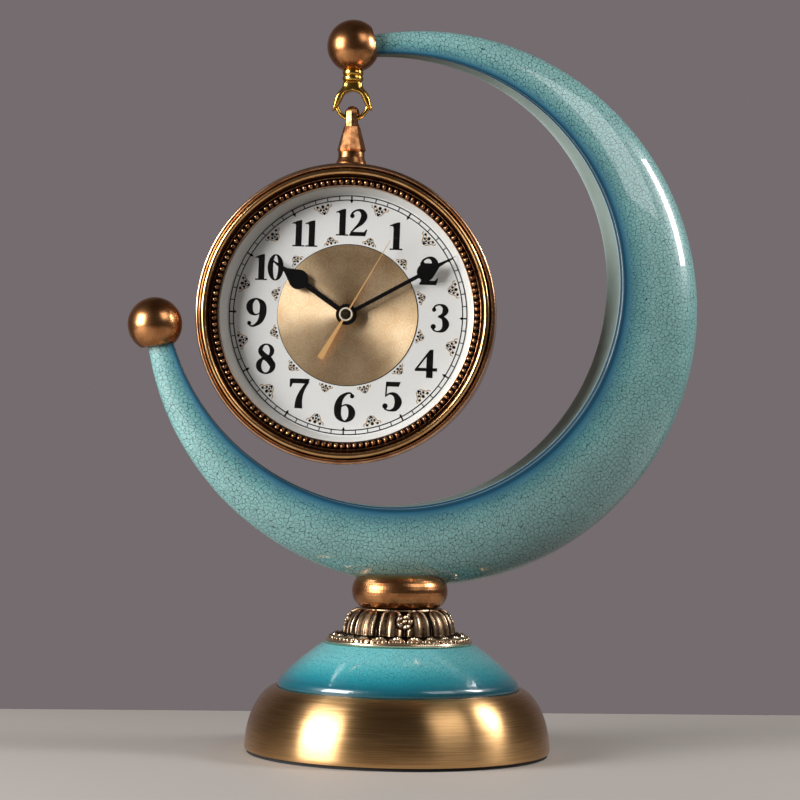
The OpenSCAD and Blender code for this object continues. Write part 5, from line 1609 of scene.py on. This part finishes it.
@dataclass
class EtchedDisc(HeadPart):
    """The gold disc in the dial's middle, with a damask of flowers and scrolls etched on it."""

    disc_r: float = 34.5
    disc_t: float = 0.4
    hole_r: float = 4.0
    # The dark line round the disc: its outer radius and its height at the outside and the inside
    line_r: float = 34.9
    line_t: tuple[float, float] = (0.1, 0.3)
    etch_t: float = 0.03
    # Where the etching stops, short of the disc's edge and outside the hub
    margin: float = 0.9
    clear_r: float = 6.2
    # The flowers' distance in a row, and that from row to row as a share of it
    pitch: float = 9.4
    row_share: float = 0.866
    # A flower whose middle is up to this far off the disc still reaches it with a scroll
    flower_r: float = 6.0
    # Mean radius of a flower and how far its petals wave, then the radii of its eye and its leaves
    petal: tuple[float, float] = (1.55, 0.45)
    eye_r: float = 0.6
    leaf_r: float = 3.6
    line_width: float = 0.2
    eye_width: float = 0.22
    leaf_width: float = 0.17

    def etch(self, shape: Shape, x: np.ndarray, y: np.ndarray, width: float) -> None:
        """Etches the stretches of a line that lie on the free part of the disc.

        Args:
            shape: The etching's mesh.
            x: The line's places across the disc.
            y: Its places up the disc.
            width: Its width.
        """
        points = np.c_[x, y]
        far = np.hypot(x, y)
        inside = (far < self.disc_r - self.margin) & (far > self.clear_r)
        low, high = self.disc_t, self.disc_t + self.etch_t
        start = None
        for k, good in enumerate([*inside, False]):
            if good and start is None:
                start = k
            if not good and start is not None:
                if k - start > 2:
                    part = points[start:k]
                    shape.stroke(np.c_[part, np.full(len(part), width)], low, high, smooth=1)
                start = None

    def flower(self, shape: Shape, x: float, y: float, turn: int) -> None:
        """Etches one flower with the scrolls that join it to its neighbours.

        Args:
            shape: The etching's mesh.
            x: Where its middle is across the disc.
            y: Where its middle is up the disc.
            turn: Its number, which turns it.
        """
        t = np.linspace(0, FULL_TURN, 41)
        mean, lobe = self.petal
        petal = mean + lobe * np.cos(5 * t + turn * 0.6)
        self.etch(shape, x + petal * np.cos(t), y + petal * np.sin(t), self.line_width)
        t = np.linspace(0, FULL_TURN, 15)
        self.etch(shape, x + self.eye_r * np.cos(t), y + self.eye_r * np.sin(t), self.eye_width)
        for k in range(6):
            a = math.radians(60 * k + 30)
            side = 1 if k % 2 else -1
            s = np.linspace(0, 1, 22)
            # A scroll leaves the flower, curves to one side and rolls up
            roll = 2.1 + 3.3 * s - 1.2 * s**3
            sweep = a + side * (0.55 * s + 0.9 * s**4)
            curl_x = x + roll * np.cos(sweep) + 0.7 * s**3 * np.cos(a + side * 5.5 * s)
            curl_y = y + roll * np.sin(sweep) + 0.7 * s**3 * np.sin(a + side * 5.5 * s)
            self.etch(shape, curl_x, curl_y, self.line_width)
            leaf = a - side * 0.4
            c, d = math.cos(leaf), math.sin(leaf)
            middle_x, middle_y = x + self.leaf_r * c, y + self.leaf_r * d
            q = np.linspace(0, FULL_TURN, 13)
            along, across = 1.0 * np.cos(q), 0.42 * np.sin(q)
            leaf_x, leaf_y = middle_x + along * c - across * d, middle_y + along * d + across * c
            self.etch(shape, leaf_x, leaf_y, self.leaf_width)

    def build(self) -> None:
        """Turns the disc and the dark line round it, and etches the damask."""
        r, t = self.disc_r, self.disc_t
        disc = Shape()
        disc.turn([(self.hole_r, 0), (r, 0), (r, t - 0.1), (r - 0.1, t), (self.hole_r, t)], 180)
        disc.piece("disc_etched", [DISC_GOLD], "head", "etched_gold_disc", self.place(), ["centre_disc"])
        edge = Shape()
        outside, inside = self.line_t
        edge.turn([(r, 0), (self.line_r, 0), (self.line_r, outside), (r, inside)], 180)
        edge.piece("disc_edge_line", [INK], "head", "white_dial_enamel", self.place())
        lines = Shape()
        for row in range(-5, 6):
            for col in range(-4, 5):
                x = (col + (row % 2) / 2) * self.pitch
                y = row * self.pitch * self.row_share
                if math.hypot(x, y) <= r + self.flower_r:
                    self.flower(lines, x, y, row + col)
        lines.piece("disc_damask", [ETCHED_CREAM], "head", "etched_gold_disc", self.place())


@dataclass
class HubCap(HeadPart):
    """The light ring and the dark, slightly domed disc on the second hand's cap."""

    # Radius and height of each point of the two outlines
    ring: tuple[tuple[float, float], ...] = (
        *((2.55, 7.0), (3.35, 7.0), (3.35, 7.08), (3.1, 7.3), (2.8, 7.3), (2.55, 7.12)),
    )
    disc: tuple[tuple[float, float], ...] = (
        *((0.01, 7.0), (2.55, 7.0), (2.5, 7.1), (1.5, 7.2), (0.01, 7.24)),
    )

    def build(self) -> None:
        """Turns the ring and the disc."""
        finishes = [HUB_CREAM, HUB_OLIVE]
        shape = Shape()
        shape.turn(self.ring, 64, finishes.index(HUB_CREAM))
        shape.turn(self.disc, 64, finishes.index(HUB_OLIVE))
        shape.piece("hub_cap", finishes, "seconds_group", "rose_gold_hand", self.place())


@dataclass
class Carried:
    """The solids that keep their own meshes: they get their finishes and smooth shading here."""

    smooth: float = 24.0

    def build(self) -> None:
        """Gives every CAD node a finish, the hidden ones too."""
        slots = {part["node"]: part["material_slot"] for part in FRAME["record"]["subparts"]}
        for name, node in FRAME["nodes"].items():
            # A slot that isn't listed is only on solids whose mesh is replaced, so any metal will do
            finish = BY_PIECE.get(name) or BY_SLOT.get(slots[name], TURNED_BRASS)
            node.data.materials.clear()
            node.data.materials.append(finish.material())
            node.data.polygons.foreach_set("use_smooth", [True] * len(node.data.polygons))
            node.data.set_sharp_from_angle(angle=math.radians(self.smooth))
            LOG.info("%s: %s", name, finish.title)


@dataclass(frozen=True)
class SoftBox:
    """A studio lamp behind a rectangular cloth: where it hangs, its aim and its size, all in metres."""

    name: str
    spot: tuple[float, float, float]
    aim: tuple[float, float, float]
    size: tuple[float, float]
    watts: float

    def hang(self) -> None:
        """Hangs the lamp and points it at its aim."""
        data = bpy.data.lights.new(self.name, "AREA")
        data.shape = "RECTANGLE"
        data.size, data.size_y = self.size
        data.energy = self.watts
        lamp = bpy.data.objects.new(self.name, data)
        bpy.context.scene.collection.objects.link(lamp)
        turn = (Vector(self.aim) - Vector(self.spot)).to_track_quat("-Z", "Y").to_matrix().to_4x4()
        lamp.matrix_world = Matrix.Translation(Vector(self.spot)) @ turn


@dataclass
class Studio:
    """The camera, a pale desk top, one large soft box left, two small ones right, and the room."""

    distance: float = 1.172
    aim: tuple[float, float, float] = (-0.0017, 0.0, 0.173)
    camera_z: float = 0.146
    azimuth: float = -5.8
    roll: float = 1.1
    lens: float = 107.0
    sensor: float = 36.0
    lamps: tuple[SoftBox, ...] = (
        SoftBox("left_box", (-0.96, -0.4, 0.46), (0, 0, 0.2), (0.56, 0.6), 17.0),
        SoftBox("right_strip", (0.69, -0.1, 0.53), (0.05, 0, 0.2), (0.14, 0.3), 3.8),
        SoftBox("right_fill", (0.7, -0.8, 0.95), (0, 0, 0.1), (0.6, 0.6), 3.0),
    )
    # The desk's sides in metres; its far edge is close behind the clock, as in the photograph
    desk_x: tuple[float, float] = (-0.9, 0.9)
    desk_y: tuple[float, float] = (-0.75, 0.18)
    desk_z: tuple[float, float] = (-0.03, 0.0)
    # The room's light, from the front to the far end, and the directions where it starts and ends to rise
    room: Stops = ((0.0, "#34302f"), (0.8, "#453f3e"), (1.0, "#746c6e"))
    room_reach: tuple[float, float] = (-0.9, 0.94)

    def camera(self) -> None:
        """Sets the camera as the photograph was taken."""
        data = bpy.data.cameras.new("camera")
        data.lens = self.lens
        data.sensor_width = self.sensor
        camera = bpy.data.objects.new("camera", data)
        bpy.context.scene.collection.objects.link(camera)
        a = math.radians(self.azimuth)
        x, y = self.aim[0] + self.distance * math.sin(a), -self.distance * math.cos(a)
        spot = Vector((x, y, self.camera_z))
        turn = (Vector(self.aim) - spot).to_track_quat("-Z", "Y").to_matrix().to_4x4()
        roll = Matrix.Rotation(math.radians(self.roll), 4, "Z")
        camera.matrix_world = Matrix.Translation(spot) @ turn @ roll
        bpy.context.scene.camera = camera

    def desk(self) -> None:
        """Lays the desk top as a plain board."""
        (left, right), (near, far) = self.desk_x, self.desk_y
        sides = ((left, near), (right, near), (right, far), (left, far))
        corners = [(x, y, z) for z in self.desk_z for x, y in sides]
        faces = [(k, (k + 1) % 4, 4 + (k + 1) % 4, 4 + k) for k in range(4)]
        mesh = bpy.data.meshes.new("desk")
        mesh.from_pydata(corners, [], [*faces, (4, 5, 6, 7), (3, 2, 1, 0)])
        mesh.materials.append(DESK_PALE.material())
        desk = bpy.data.objects.new("desk", mesh)
        bpy.context.scene.collection.objects.link(desk)

    def world(self) -> None:
        """Fills the room with a soft light that fades towards the front."""
        world = bpy.data.worlds.new("room")
        bpy.context.scene.world = world
        world.use_nodes = True
        tree = world.node_tree
        way = add(tree, "TexCoord").outputs["Generated"]
        parts = add(tree, "SeparateXYZ", wires={0: way})
        start, end = self.room_reach
        fade = add(tree, "MapRange", wires={0: parts.outputs[1], 1: start, 2: end})
        tone = add(tree, "ValToRGB", wires={0: fade.outputs[0]}, stops=self.room)
        join(tree, tree.nodes["Background"], {"Color": tone.outputs[0], "Strength": 1.0})

    def build(self) -> None:
        """Sets the lamps, the desk and the room."""
        for lamp in self.lamps:
            lamp.hang()
        self.desk()
        self.world()


def main() -> None:
    """Builds the whole clock and its studio."""
    logging.basicConfig(level=logging.INFO, format="%(message)s")
    bpy.context.scene.view_settings.view_transform = "Standard"
    studio = Studio()
    studio.camera()
    for part in (Carried, Base, CastCollar, Crescent, Claw, Bezel, DialPrint, EtchedDisc, HubCap):
        part().build()
    studio.build()


if __name__ == "__main__":
    main()
